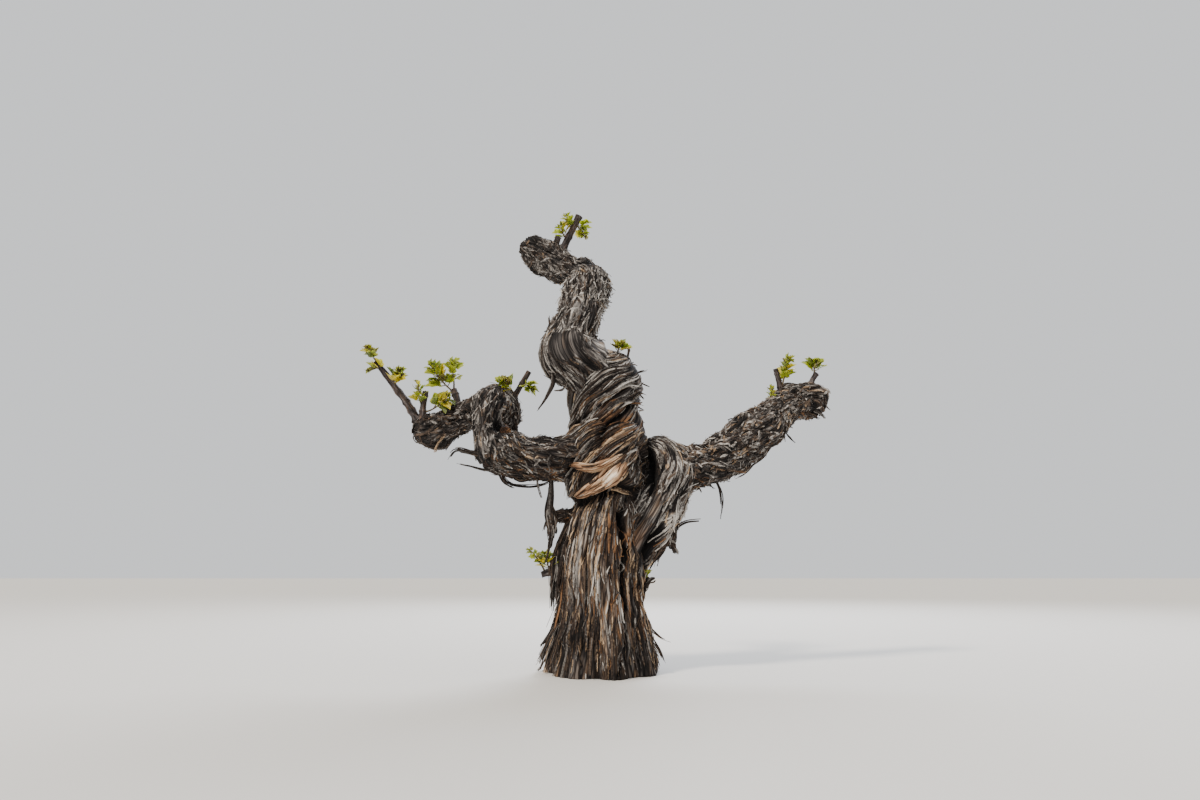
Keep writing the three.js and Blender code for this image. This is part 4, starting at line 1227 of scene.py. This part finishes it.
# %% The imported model's strips
STRIPS = {
    "strip_strap": [[-80, -22, 305, 2.2], [-80, -27, 272, 2], [-81, -30, 240, 3], [-77, -30, 212, 2.7],
                    [-80, -30, 188, 0.8]],
    "strip_column": [[-80, -44, 484, 0.6], [-79, -48, 456, 1.2], [-88, -49, 430, 0.9], [-103, -50, 407, 0.4]],
    "strip_left_end": [[-168, -52, 330, 1.4], [-204, -56, 336, 1.3], [-232, -58, 341, 1.2],
                       [-244, -60, 325, 0.6]],
    "strip_left_under": [[-166, -40, 318, 1.2], [-150, -36, 292, 1.1], [-120, -32, 286, 1],
                         [-92, -28, 290, 1.1], [-66, -24, 304, 1.3]],
    "strip_right_hang": [[192, 26, 314, 1.3], [204, 24, 288, 1], [206, 22, 261, 0.9], [201, 22, 238, 1.1]],
    "strip_tendril": [[80, -8, 180, 1.3], [104, -11, 193, 1.4], [117, -13, 198, 1.9], [122, -15, 218, 1.1],
                      [138, -16, 229, 0.8], [164, -18, 233, 0.6]],
    "strip_trunk_left": [[-48, -14, 222, 1.6], [-66, -18, 186, 2.6], [-75, -20, 150, 2.2],
                         [-77, -20, 96, 0.8]],
}
WIRY = {                    # strips of a few dark fibres, and how wide those are in millimetres
    "strip_left_under": (1.1, 2), "strip_tendril": (3, 5), "strip_right_hang": (1.6, 2.8)}
for i, (name, stations) in enumerate(STRIPS.items()):
    count, kinds = (6, ["black"]) if name in WIRY else (14, ["black", "umber", "black", "ash"])
    bundle(stations, STRIP, 1000 + i, count, WIRY.get(name, (2.2, 4.4)), kinds, swing=0.9)
print(len(STRIPS), "strips,", len(WIRY), "of them wiry")

# %% [markdown]
# Where a whole sheet of bark has let go, it hangs as a curtain of many ribbons, frayed at its lower end.
# Curtains hide the limb's outline, which would look smooth and made without them, and a fringe of short
# ends does the same round the foot.

# %% Curtains and fringe
CURTAINS = {                # ribbons, then x, y, z and half width in millimetres
    "trunk_left": (44, [[-42, -18, 246, 4], [-54, -20, 216, 7], [-63, -22, 188, 9], [-69, -22, 158, 9.5],
                        [-71, -22, 128, 8], [-72, -22, 92, 5]]),
    "trunk_left_back": (26, [[-44, 6, 236, 5], [-57, 8, 206, 8], [-66, 8, 170, 9], [-70, 8, 130, 7],
                             [-70, 6, 96, 4]]),
    "stub_rags": (56, [[-82, -28, 258, 4], [-78, -30, 240, 9], [-77, -30, 218, 8.5], [-79, -30, 190, 3]]),
    "stub_knot": (50, [[-90, -27, 238, 6], [-72, -26, 238, 9], [-52, -20, 241, 8], [-40, -14, 244, 5]]),
    "right_rags": (20, [[89, -2, 141, 2.5], [78, -3, 135, 5], [70, -4, 123, 5], [67, -5, 112, 4.5],
                        [69, -5, 98, 2]]),
    "stem_flap": (44, [[127, -8, 264, 4], [118, -12, 234, 7], [106, -16, 206, 9], [94, -18, 184, 9],
                       [82, -18, 164, 5]]),
    "stem_rags": (16, [[108, -12, 196, 5], [116, -13, 193, 5], [121, -14, 186, 5], [124, -14, 178, 3]]),
    "chunk": (12, [[118, -14, 212, 2], [118, -14, 202, 4.5], [119, -14, 193, 4.5], [121, -14, 184, 2]]),
    "stem_flap_back": (16, [[120, 14, 250, 5], [108, 14, 212, 6], [90, 10, 180, 6], [78, 6, 162, 3]]),
    "hollow_wall": (60, [[-152, 0, 412, 8], [-150, -4, 396, 11], [-149, -10, 380, 11], [-148, -24, 362, 8]]),
}
# Mostly black ribbons: dark rotted fibre, and painted shade where a sheet hangs over a hollow or a gap.
for i, (count, stations) in enumerate(CURTAINS.values()):
    bundle(stations, 1, 1300 + i, count, (2, 4.6), ["black", "umber", "black", "ash", "umber"],
           ends=(0.3, 1), starts=(0, 0.6), swing=1.6)
FOOT_Z = [0, 48, 102]       # heights in millimetres and the trunk's radius there
FOOT_RADIUS = [84, 77, 67]


def fringe(count, seed):
    """Loose ends round the foot of the trunk: each leaves the bark at some height and runs out and
    down to just above the ground."""
    draw = np.random.default_rng(seed)
    for i in range(count):
        turn = draw.uniform(0, TAU)
        away = np.array([math.sin(turn), -0.9 * math.cos(turn)])
        high, out = draw.uniform(45, 100), draw.uniform(8, 20)
        rows = []
        for share, size in ((0, 2), (0.4, 2), (0.75, 1.6), (1, 0.8)):
            z = high + (draw.uniform(4, 16) - high) * share
            reach = np.interp(z, FOOT_Z, FOOT_RADIUS) - 3 + out * share**1.5
            rows.append([*(away * reach), z, size])
        bundle(rows, 1, seed + 1 + i, 3, (1.4, 3), ["black", "umber", "ash"], (0.8, 1))


fringe(34, 1400)
print(sum(count for count, _ in CURTAINS.values()), "ribbons in", len(CURTAINS), "curtains")

# %% Wisps and snags
WISPS = {                   # x, y, z and half width in millimetres
    "left_end_lower": [[-176, -50, 322, 2], [-182, -50, 310, 1.6], [-212, -54, 316, 1.4],
                       [-230, -56, 320, 0.6]],
    "left_end_upper": [[-180, -46, 335, 1.6], [-194, -48, 333, 1.4], [-210, -50, 339, 1.2],
                       [-222, -52, 340, 0.5]],
    "under_left": [[-164, -45, 304, 1.6], [-150, -42, 288, 1.4], [-138, -38, 283, 0.6]],
    "under_middle": [[-142, -38, 300, 1.4], [-131, -38, 294, 1.4], [-113, -36, 296, 1.4], [-86, -30, 302, 1]],
    "under_hang": [[-104, -32, 306, 1.4], [-100, -36, 284, 1.2], [-94, -36, 266, 0.5]],
    "strap_branch": [[-78, -28, 246, 2], [-86, -30, 232, 1.6], [-91, -31, 214, 0.6]],
    "strap_end": [[-77, -29, 214, 1.8], [-81, -30, 190, 1.4], [-86, -31, 166, 0.5]],
    "column_twig": [[-70, -40, 566, 1.8], [-84, -42, 555, 1.4], [-96, -43, 548, 0.6]],
    "column_twig_high": [[-76, -40, 560, 1.4], [-85, -42, 562, 1.2], [-88, -43, 578, 0.5]],
    "column_rag": [[-52, -52, 458, 1.6], [-62, -52, 444, 1.4], [-76, -50, 441, 0.6]],
    "arm_loop": [[304, 50, 366, 1.2], [284, 42, 344, 1.2], [266, 36, 331, 1.2], [252, 36, 316, 1.2],
                 [234, 40, 308, 0.8]],
    "arm_fibre_far": [[318, 60, 410, 1.4], [328, 55, 400, 1.2], [338, 55, 386, 1], [348, 55, 374, 0.5]],
    "arm_fibre_far_low": [[324, 58, 404, 1.4], [328, 55, 388, 1.2], [331, 55, 376, 0.6]],
    "arm_fibre_near": [[194, 30, 314, 1.6], [206, 28, 307, 1.2], [214, 28, 304, 1], [224, 28, 302, 0.5]],
    "arm_fibre_root": [[168, 20, 306, 1.4], [176, 18, 299, 1.2], [184, 18, 294, 1], [196, 18, 288, 0.5]],
    "arm_fibre_low": [[176, 22, 308, 1.2], [184, 20, 299, 1], [194, 20, 288, 0.5]],
    "arm_fibre_in": [[160, 12, 302, 1.2], [165, 10, 293, 1], [171, 10, 280, 0.5]],
    "top_wisp": [[-150, 42, 756, 1.6], [-147, 35, 743, 1.4], [-129, 31, 724, 1.2], [-107, 28, 706, 0.6]],
    "snag_high": [[52, -8, 484, 2.4], [69, -9, 487, 1.4], [83, -8, 491, 0.6]],
    "snag_middle": [[52, -8, 470, 2.4], [68, -9, 467, 1.4], [86, -8, 461, 0.6]],
    "snag_low": [[50, -8, 460, 2.2], [63, -9, 452, 1.4], [76, -8, 438, 0.6]],
    "tip_snag": [[404, 84, 462, 3.2], [416, 85, 453, 2.6], [427, 85, 442, 1]],
    "tip_rag": [[378, 74, 436, 3.4], [392, 74, 428, 3.4], [404, 76, 424, 2]],
    "tip_rag_end": [[392, 74, 440, 3], [406, 76, 432, 3], [414, 78, 424, 1.4]],
    "stem_edge": [[128, -4, 262, 2.4], [118, -8, 214, 2.6], [98, -10, 178, 2.2], [92, -11, 160, 0.8]],
    "stem_edge_back": [[122, 8, 248, 3], [110, 6, 206, 3], [88, 4, 170, 2.4], [78, 2, 150, 1]],
    "foot_left": [[-60, -18, 92, 3], [-70, -22, 70, 3], [-82, -26, 50, 2.4], [-92, -27, 40, 1]],
    "foot_left_low": [[-66, -26, 74, 3], [-78, -30, 52, 3], [-90, -32, 30, 2.4], [-98, -32, 14, 1]],
    "foot_right": [[62, -10, 98, 3], [74, -14, 72, 3], [92, -19, 54, 2], [110, -22, 47, 1]],
    "foot_right_low": [[66, -20, 80, 3], [80, -24, 54, 3], [92, -27, 32, 2.4], [100, -28, 16, 1]],
}
FAR_STRIP = [[-252, -6, 402, 1.8], [-263, -13, 375, 1.8], [-274, -12, 358, 1.8], [-277, -9, 345, 2]]
LEDGE = [[16, -55, 278, 1.5], [30, -57, 277, 3], [42, -56, 273, 3], [52, -52, 268, 1]]
for i, stations in enumerate(WISPS.values()):
    bundle(stations, 1, 1100 + i, 6, (1.2, 2.6), ["black", "umber", "umber", "ash"], ends=(0.7, 1))
bundle(FAR_STRIP, 1, 1200, 5, (1.8, 3), ["tan", "silver"], ends=(0.9, 1))
bundle(LEDGE, 1, 1210, 9, (1.6, 3), ["umber", "tan", "umber", "black"], ends=(0.6, 1))
print("loose ribbons by kind:", {kind: len(blocks) for kind, blocks in HANGING.items()})

# %% [markdown]
# Loose bark is one stuff in six colours, from fibre bleached by the sun to fibre black with rot. Each
# strip has one colour, because it weathered as one, and is painted darker towards the depth of the
# thatch, as the shade there. The ribbons of one colour are joined into one mesh, so that thousands of
# strips are a few pieces.

# %% Loose bark
def loose(name, code, dark):
    """Old fibre of one colour, with painted shade: darker where it lies deep, down to near black. Fine blots
    keep a strip from looking cut out of card."""
    made, tree, shader = new_material(name, 0.85, 0.25)
    place = add(tree, "TexCoord").outputs["Object"]
    stands = add(tree, "Attribute", attribute_name="stands").outputs["Fac"]
    fleck = add(tree, "TexNoise", {"Vector": place, "Scale": 1 / (3 * MM), "Detail": 4.0}).outputs["Fac"]
    level = add(tree, "Math", {0: fleck, 1: stands}, operation="ADD").outputs[0]
    spread = add(tree, "MapRange", {"Value": level, "From Min": 0.6, "From Max": 1.35}).outputs["Result"]
    # The near-black foot of the ramp and the deep colour are painted shade.
    colour = add(tree, "ValToRGB", {"Fac": spread}, stops=[
        (0.0, "#0c0907"), (0.4, dark), (0.95, code)]).outputs["Color"]
    bump = add(tree, "Bump", {"Height": fleck, "Strength": 0.5, "Distance": 0.8 * MM})
    tree.links.new(colour, shader.inputs["Base Color"])
    tree.links.new(bump.outputs["Normal"], shader.inputs["Normal"])
    return made


COLOURS = {                 # the colour of a strip in the open and its painted shade deep down
    "silver": ("#c0bab2", "#5c5651"), "ash": ("#857f79", "#3c3734"), "umber": ("#5f4f42", "#2a211b"),
    "black": ("#3a302a", "#16110e"), "tan": ("#bda283", "#5f4b39"), "rust": ("#7d593b", "#38271b"),
}
LOOSE = {kind: loose("loose_bark_" + kind, *COLOURS[kind]) for kind in KINDS}
print("loose bark in", len(LOOSE), "colours")


# %% Pieces of loose bark
def ribbon_mesh(name, blocks):
    """One mesh of all the ribbons in some blocks, which may differ in their number of steps."""
    points, stands, quads, ends, first = [], [], [], [], 0
    for corners, height in blocks:
        sides, caps = rod_faces(*corners.shape[:3], first)
        points.append(corners.reshape(-1, 3))
        stands.append(np.repeat(height[..., None], 3, axis=2).ravel())
        quads.append(sides)
        ends.append(caps)
        first += len(points[-1])
    return mesh_of(name, np.concatenate(points), [np.concatenate(quads), np.concatenate(ends)],
                   smooth=False, stands=np.concatenate(stands))


for kind in KINDS:
    piece("thatch_" + kind, ribbon_mesh("thatch_" + kind, THATCH[kind]), LOOSE[kind], "arm_bark")
# The far strip's silver fibres are left out, so that only its tan ones show.
for kind in ("black", "umber", "ash", "tan"):
    nodes = list(STRIPS) if kind == "black" else []
    piece("hanging_" + kind, ribbon_mesh("hanging_" + kind, HANGING[kind]), LOOSE[kind], "loose_bark", *nodes)

# %% [markdown]
# The shoots are a week old. A young vine leaf is folded like a fan along its five main veins and opens
# as it grows, so the leaves at a shoot's foot are wide and yellow-green and those at its tip are small,
# folded and bronze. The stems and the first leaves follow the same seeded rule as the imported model, so
# that each stands where its solid does, and smaller leaves fill in between.

# %% Rods
RODS = {"points": [], "faces": [], "ends": [], "count": 0}


def rods(paths, radius, sides):
    """Round rods along paths (rod, step, 3) with radii (rod, step): circles square to each path."""
    tangent = unit(np.gradient(paths, axis=1))
    steep = np.abs(tangent.mean(axis=1)[:, None, 2:3]) > 0.7
    hint = np.where(steep, np.array([1.0, 0, 0]), UP)
    side = unit(np.cross(tangent, np.broadcast_to(hint, tangent.shape)))
    up = np.cross(tangent, side)
    turn = np.arange(sides) / sides * TAU
    ring = (side[:, :, None] * np.cos(turn)[:, None] + up[:, :, None] * np.sin(turn)[:, None])
    points = paths[:, :, None] + radius[..., None, None] * ring
    quads, ends = rod_faces(*points.shape[:3], RODS["count"])
    RODS["points"].append(points.reshape(-1, 3))
    RODS["faces"].append(quads)
    RODS["ends"].append(ends)
    RODS["count"] += points.size // 3


print("all stems and petioles become one mesh of rods")

# %% Leaf blades
HALF_LEAF = [(0, 1), (15, 0.84), (30, 0.7), (42, 0.82), (52, 0.88), (65, 0.72), (80, 0.58), (98, 0.64),
             (112, 0.68), (134, 0.54), (160, 0.34)]     # degrees from the tip and radius
NARROW = 0.82               # width of a young blade against a grown one
VEINS = (0, 52, 112)        # degrees of the main veins, each of which ends in a lobe
RING = 0.55                 # share of the radius at which a blade is pleated
CUP, DROOP = 0.3, 0.16      # how much a blade is cupped across and hangs lengthwise


def leaf_outline():
    """Corners of the lobed outline, from one side of the petiole round the tip to the other: angle
    from the tip, radius, and 1 on a vein falling to 0 midway to the next."""
    degrees, radius = np.array(HALF_LEAF).T
    degrees = np.concatenate([degrees[::-1], -degrees[1:]])
    radius = np.concatenate([radius[::-1], radius[1:]])
    apart = np.min([np.abs(np.abs(degrees) - vein) for vein in VEINS], axis=0)
    return np.radians(degrees), radius, np.clip(1 - apart / 26, 0, 1)


def blades(ends, aims, faces, lengths, folds):
    """Blades (leaf, corner, 3): rim, pleated ring and middle, then ring and middle again a little
    lower. Each is cupped by x squared, hangs by y squared, and is folded by |x| along its midrib."""
    turn, radius, vein = leaf_outline()
    x, y = NARROW * radius * np.sin(turn), radius * np.cos(turn)
    pleat = 0.05 - 0.1 * vein
    x = np.concatenate([x, RING * x, [0]])
    y = np.concatenate([y, RING * y, [0]])
    z = np.concatenate([0.4 * pleat, pleat, [0]]) + CUP * x**2 - DROOP * y**2
    z = z[None] + folds[:, None] * np.abs(x)[None]
    x = x[None] * (1 - 0.25 * folds[:, None])
    side = np.cross(aims, faces)
    size = lengths[:, None, None]
    top = ends[:, None] + size * (
        x[..., None] * side[:, None] + y[None, :, None] * aims[:, None] + z[..., None] * faces[:, None])
    under = top[:, len(turn):] - 0.02 * size * faces[:, None]
    return np.concatenate([top, under], axis=1)


def blade_faces(count):
    """Faces of count blades: rim to ring and ring to middle, above and below. The notch at the petiole
    closes the outline."""
    n = len(leaf_outline()[0])
    i = np.arange(n)
    j = (i + 1) % n
    low = 2 * n + 1
    quads = np.concatenate([np.stack([i, j, j + n, i + n], -1), np.stack([j, i, i + low, j + low], -1)])
    tris = np.concatenate([np.stack([i + n, j + n, i * 0 + 2 * n], -1),
                           np.stack([j + low, i + low, i * 0 + low + n], -1)])
    step = (np.arange(count) * (3 * n + 2))[:, None, None]
    return [(quads[None] + step).reshape(-1, 4), (tris[None] + step).reshape(-1, 3)]


print("a blade has", len(leaf_outline()[0]), "corners and", sum(map(len, blade_faces(1))), "faces")

# %% Where the shoots stand
SHOOTS = {                  # spur, place on it, tip, sag, leaves, scale, seed
    "shoot_top_left": ("top_spur", 0.42, (-74, 18, 782), 0.1, 6, 0.8, 11),
    "shoot_top_high": ("top_spur", 0.62, (-62, 16, 800), 0.1, 5, 0.8, 31),
    "shoot_top_right": ("top_spur", 0.7, (-30, 12, 760), -0.25, 9, 0.9, 12),
    "shoot_knuckle": ("column_lower", 0.98, (33, -34, 523), 0, 12, 1.2, 13),
    "shoot_cane_tip": ("long_cane", 0.97, (-408, 0, 532), 0, 8, 0.95, 14),
    "shoot_cane_left": ("long_cane", 0.86, (-402, 2, 493), -0.3, 6, 0.85, 15),
    "shoot_cane_right": ("long_cane", 0.75, (-354, 4, 490), 0.2, 9, 1.15, 16),
    "shoot_short_left": ("short_spur", 0.4, (-317, 0, 468), 0.1, 7, 0.8, 17),
    "shoot_short_right": ("short_spur", 0.35, (-262, -10, 440), 0.1, 9, 1.2, 18),
    "shoot_back_left": ("back_spur", 0.8, (-296, 4, 500), 0.05, 12, 1.1, 19),
    "shoot_back_right": ("back_spur", 0.97, (-264, 26, 514), -0.1, 9, 0.95, 20),
    "shoot_knob_left": ("knob_spur", 0.3, (-164, -30, 460), -0.2, 10, 1, 21),
    "shoot_knob_right": ("knob_spur", 0.6, (-118, -18, 454), -0.2, 8, 0.95, 22),
    "shoot_near_high": ("near_spur", 0.3, (347, 58, 530), 0.1, 12, 1, 23),
    "shoot_near_low": ("right_arm", 0.6, (312, 52, 474), 0, 10, 0.7, 24),
    "shoot_tip": ("tip_spur", 0.85, (406, 86, 534), 0, 9, 1.05, 25),
    "shoot_left_sucker": ("left_sucker_stub", 0.55, (-86, -20, 178), 0.1, 9, 0.75, 26),
    "shoot_right_sucker": ("right_sucker_stub", 0.5, (68, -10, 152), 0, 7, 0.75, 27),
}
FINER_SHOOTS = {"left_sucker_side": ("left_sucker_stub", 0.8, (-112, -18, 184), -0.1, 6, 0.55, 28)}
print(len(SHOOTS), "shoots in the packed model and", len(FINER_SHOOTS), "more")

# %% A leaf on its petiole
GREENS = {"lime": "#8e951c", "yellow": "#c2ae26", "green": "#58641a", "bronze": "#4e421d"}
LEAVES = {kind: {"end": [], "aim": [], "face": [], "length": [], "fold": []} for kind in GREENS}
LIGHT = unit(np.array([0.0, -0.5, 0.87]))               # where the leaves turn
PETIOLE = 0.72              # length and radius of a petiole, against its leaf's length
PETIOLE_RADIUS = 0.04


def seeded(seed):
    """Numbers from 0 to 1 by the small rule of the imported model's source."""
    state = seed * 7919 % 2**32
    while True:
        state = (state * 1664525 + 1013904223) % 2**32
        yield state / 2**32


def turned(vector, axis, angle):
    """A vector turned round a unit axis: Rodrigues' rotation."""
    return (vector * math.cos(angle) + np.cross(axis, vector) * math.sin(angle)
            + axis * (axis @ vector) * (1 - math.cos(angle)))


def add_leaf(root, aim, length, roll, kind, fold):
    """A petiole and a blade that turns its face to the light, unless it would touch a limb."""
    end = root + aim * PETIOLE * length * MM
    if nearest_gap(None, (end + 0.4 * length * MM * aim)[None])[0] < 0:
        return
    face = turned(unit(LIGHT - (aim @ LIGHT) * aim), aim, roll)
    kept = LEAVES[kind]
    for key, value in (("end", end), ("aim", aim), ("face", face), ("length", length * MM), ("fold", fold)):
        kept[key].append(value)
    t = np.linspace(0, 1, 4)[:, None]
    path = root + (end - root) * t - 0.06 * length * MM * UP * (4 * t * (1 - t))
    rods(path[None], np.full((1, 4), PETIOLE_RADIUS * length * MM), 5)


random = seeded(11)
print("the first shoot's rule starts with", round(next(random), 3), "and", round(next(random), 3))

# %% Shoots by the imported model's rule
BLADE = 0.86                # a finer leaf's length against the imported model's
FIRST_LEAF = 0.3            # share of the stem at which leaves start
LEAF_AT_FOOT = 1.05         # a leaf's length there, against the largest,
LEAF_LOSS = 0.6             # how much of it is lost by the tip
LEAF_LUCK = 0.3             # and how much is chance
LEAF_TURN = 1.6             # radians within which a leaf strays from its side of the stem
LEAF_ROLL = 1.4             # and within which it rolls
LEAN = {"foot": 0.2, "gain": 0.6, "luck": 0.3}          # how much a leaf leans along the stem
STEM_STEPS = 14
GROWN = [0.45, 0.3, 0.2, 0.05]      # how often a leaf has each of the four colours
YOUNG = [0.3, 0.1, 0.35, 0.25]      # and how often one in the last quarter of the stem has it
SMALL_FROM = 0.5            # share of the stem from which small leaves stand between
TIP_LEAVES = 4
TENDRIL = 15                # its length in millimetres


def grow(on, at, tip, sag, leaves, scale, seed):
    """One shoot: its bending stem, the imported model's leaves, smaller ones between and a folded tip."""
    random = seeded(seed)
    draw = np.random.default_rng(seed)
    host = {**LIMBS, **SPURS}[on]
    foot = through(host["stations"], np.array(at))[:3]
    reach = np.array(tip) - foot
    heading = unit(reach)
    level = unit(np.cross(heading, [0, 1, 0]))

    def middle(share):
        drop = 4 * share * (1 - share) * sag * np.linalg.norm(reach)
        return (foot + reach * share - drop * UP) * MM

    share = np.linspace(0, 1, STEM_STEPS)
    path = np.array([middle(s) for s in share])
    path[:, 0] += 0.6 * MM * np.sin(9 * share)
    rods(path[None], (SHOOT * (1 - 0.5 * share) * MM)[None], 8)
    spin = next(random) * TAU
    for i in range(leaves):
        place = FIRST_LEAF + (1 - FIRST_LEAF) * (i + 0.5) / leaves
        luck = 1 + LEAF_LUCK * (next(random) - 0.5)
        turn = spin + math.pi * i + LEAF_TURN * (next(random) - 0.5)
        lean = LEAN["foot"] + LEAN["gain"] * place + LEAN["luck"] * next(random)
        roll = LEAF_ROLL * (next(random) - 0.5)
        length = LEAF * scale * (LEAF_AT_FOOT - LEAF_LOSS * place) * luck
        aim = unit(turned(level, heading, turn) + heading * lean)
        kind = draw.choice(list(GREENS), p=GROWN if place < 0.75 else YOUNG)
        add_leaf(middle(place), aim, BLADE * length, roll, kind, draw.uniform(0.1, 0.5))
        if place < SMALL_FROM:
            continue
        small = draw.uniform(0.5, 0.75) * length
        beside_it = unit(turned(level, heading, turn + draw.uniform(1.2, 2.4)) + heading * (lean + 0.3))
        add_leaf(middle(place - 0.5 / leaves), beside_it, small, draw.uniform(-1, 1),
                 draw.choice(["lime", "green", "bronze"]), draw.uniform(0.3, 0.7))
    for _ in range(TIP_LEAVES):
        aim = unit(heading + 0.5 * draw.normal(size=3))
        add_leaf(middle(1), aim, draw.uniform(5, 9) * scale, draw.uniform(-2, 2),
                 draw.choice(["green", "bronze"]), draw.uniform(0.6, 1))
    t = np.linspace(0, 1, 10)
    curl = np.stack([np.sin(5 * t) * t, np.zeros(10), np.cos(5 * t) * t], axis=-1) * 3 * MM
    tendril = middle(0.8) + (heading + 0.5 * level)[None] * (t * TENDRIL * scale * MM)[:, None] + curl
    rods(tendril[None], ((0.55 - 0.3 * t) * MM)[None], 5)


for spec in [*SHOOTS.values(), *FINER_SHOOTS.values()]:
    grow(*spec)
print("leaves:", {kind: len(kept["end"]) for kind, kept in LEAVES.items()})

# %% [markdown]
# A leaf a week old is thin and soft. Light from behind passes through it, so it glows, and its veins
# stay paler than the tissue between them. Subsurface scattering with more red and green than blue gives
# that glow, and an attribute that is 1 on a vein gives the pale lines.


# %% Leaf tissue
def leaf_tissue(name, code):
    """Soft young leaf: thin enough to glow when lit from behind, with a slight waxy shine."""
    made, tree, shader = new_material(name, 0.5, 0.4)
    place = add(tree, "TexCoord").outputs["Object"]
    spread = add(tree, "TexNoise", {"Vector": place, "Scale": 1 / (14 * MM), "Detail": 3.0}).outputs["Fac"]
    light, dark = srgb(code), tuple(0.5 * v for v in srgb(code)[:3]) + (1.0,)
    vein = add(tree, "Attribute", attribute_name="vein").outputs["Fac"]
    bright = add(tree, "MapRange", {"Value": vein, "From Min": 0.7, "To Max": 0.5}).outputs["Result"]
    both = add(tree, "Math", {0: spread, 1: bright}, operation="ADD").outputs[0]
    level = add(tree, "MapRange", {"Value": both, "From Min": 0.35, "From Max": 0.68}).outputs["Result"]
    colour = add(tree, "Mix", {0: level, 6: dark, 7: light}, data_type="RGBA").outputs[2]
    tree.links.new(colour, shader.inputs["Base Color"])
    shader.inputs["Subsurface Weight"].default_value = 0.3
    shader.inputs["Subsurface Radius"].default_value = (0.8, 1.0, 0.3)
    shader.inputs["Subsurface Scale"].default_value = 2 * MM
    return made


STEM = leaf_tissue("young_stem", "#65532c")
print("leaf tissue in", len(GREENS), "colours, and", STEM.name)

# %% Pieces of foliage
SHARP = 75                  # degrees at an edge above which a blade isn't smoothed over it
for kind, code in GREENS.items():
    kept = {key: np.array(values) for key, values in LEAVES[kind].items()}
    points = blades(kept["end"], kept["aim"], kept["face"], kept["length"], kept["fold"])
    vein = leaf_outline()[2]
    vein = np.tile(np.concatenate([vein, vein, [1], vein, [1]]), len(points))
    mesh = mesh_of("leaves_" + kind, points, blade_faces(len(points)), vein=vein)
    mesh.set_sharp_from_angle(angle=math.radians(SHARP))
    nodes = list(SHOOTS) if kind == "lime" else []
    piece("leaves_" + kind, mesh, leaf_tissue("young_leaf_" + kind, code), "leaf", *nodes)
ends = [np.concatenate([block for block in RODS["ends"] if block.shape[1] == sides]) for sides in (5, 8)]
stem_mesh = mesh_of("stems", np.concatenate(RODS["points"]), [np.concatenate(RODS["faces"]), *ends])
piece("shoot_stems", stem_mesh, STEM, "leaf")

# %% [markdown]
# The studio: a pale floor that runs far out, pale light from all round, and two soft lamps. The sun-like
# key lights the floor evenly, and a strong lamp behind the plant draws a bright edge on the bark and
# makes the leaves glow.

# %% Floor
FLOOR_HALF = 30             # metres from the middle to each side
CORNERS = ((-1, -1), (1, -1), (1, 1), (-1, 1))


def plain(name, code, roughness):
    """A plain painted surface for the studio floor."""
    made, tree, shader = new_material(name, roughness, 0.3)
    shader.inputs["Base Color"].default_value = srgb(code)
    return made


floor_mesh = bpy.data.meshes.new("floor")
floor_mesh.from_pydata([(x * FLOOR_HALF, y * FLOOR_HALF, 0) for x, y in CORNERS], [], [(0, 1, 2, 3)])
floor_mesh.materials.append(plain("studio_floor", "#cfccc6", 0.9))
floor = bpy.data.objects.new("floor", floor_mesh)
bpy.context.scene.collection.objects.link(floor)
print("floor", 2 * FLOOR_HALF, "m wide")

# %% Light
AIM = Vector((0, 0, 0.4))               # the middle of the plant
ROUND_LIGHT = 1.05                      # strength of the light from all round


def lamp(name, kind, place, size, strength, code):
    """A light that faces the middle of the plant: a square one of some metres, or a sun of some
    degrees."""
    made = bpy.data.objects.new(name, bpy.data.lights.new(name, kind))
    if kind == "AREA":
        made.data.shape = "SQUARE"
        made.data.size = size
    else:
        made.data.angle = math.radians(size)
    made.data.energy = strength
    made.data.color = srgb(code)[:3]
    made.location = place
    made.rotation_euler = (AIM - made.location).to_track_quat("-Z", "Y").to_euler()
    bpy.context.scene.collection.objects.link(made)
    print(name, "light of", strength, "at", tuple(round(v, 1) for v in made.location))


lamp("key", "SUN", (-1.3, -1.1, 2.4), 9, 3.4, "#fff4e6")
lamp("back", "AREA", (0.6, 1.8, 2.2), 1.4, 110, "#eaf1ff")
world = bpy.data.worlds.new("studio")
world.use_nodes = True
world.node_tree.nodes["Background"].inputs["Color"].default_value = srgb("#eff1f3")
world.node_tree.nodes["Background"].inputs["Strength"].default_value = ROUND_LIGHT
bpy.context.scene.world = world
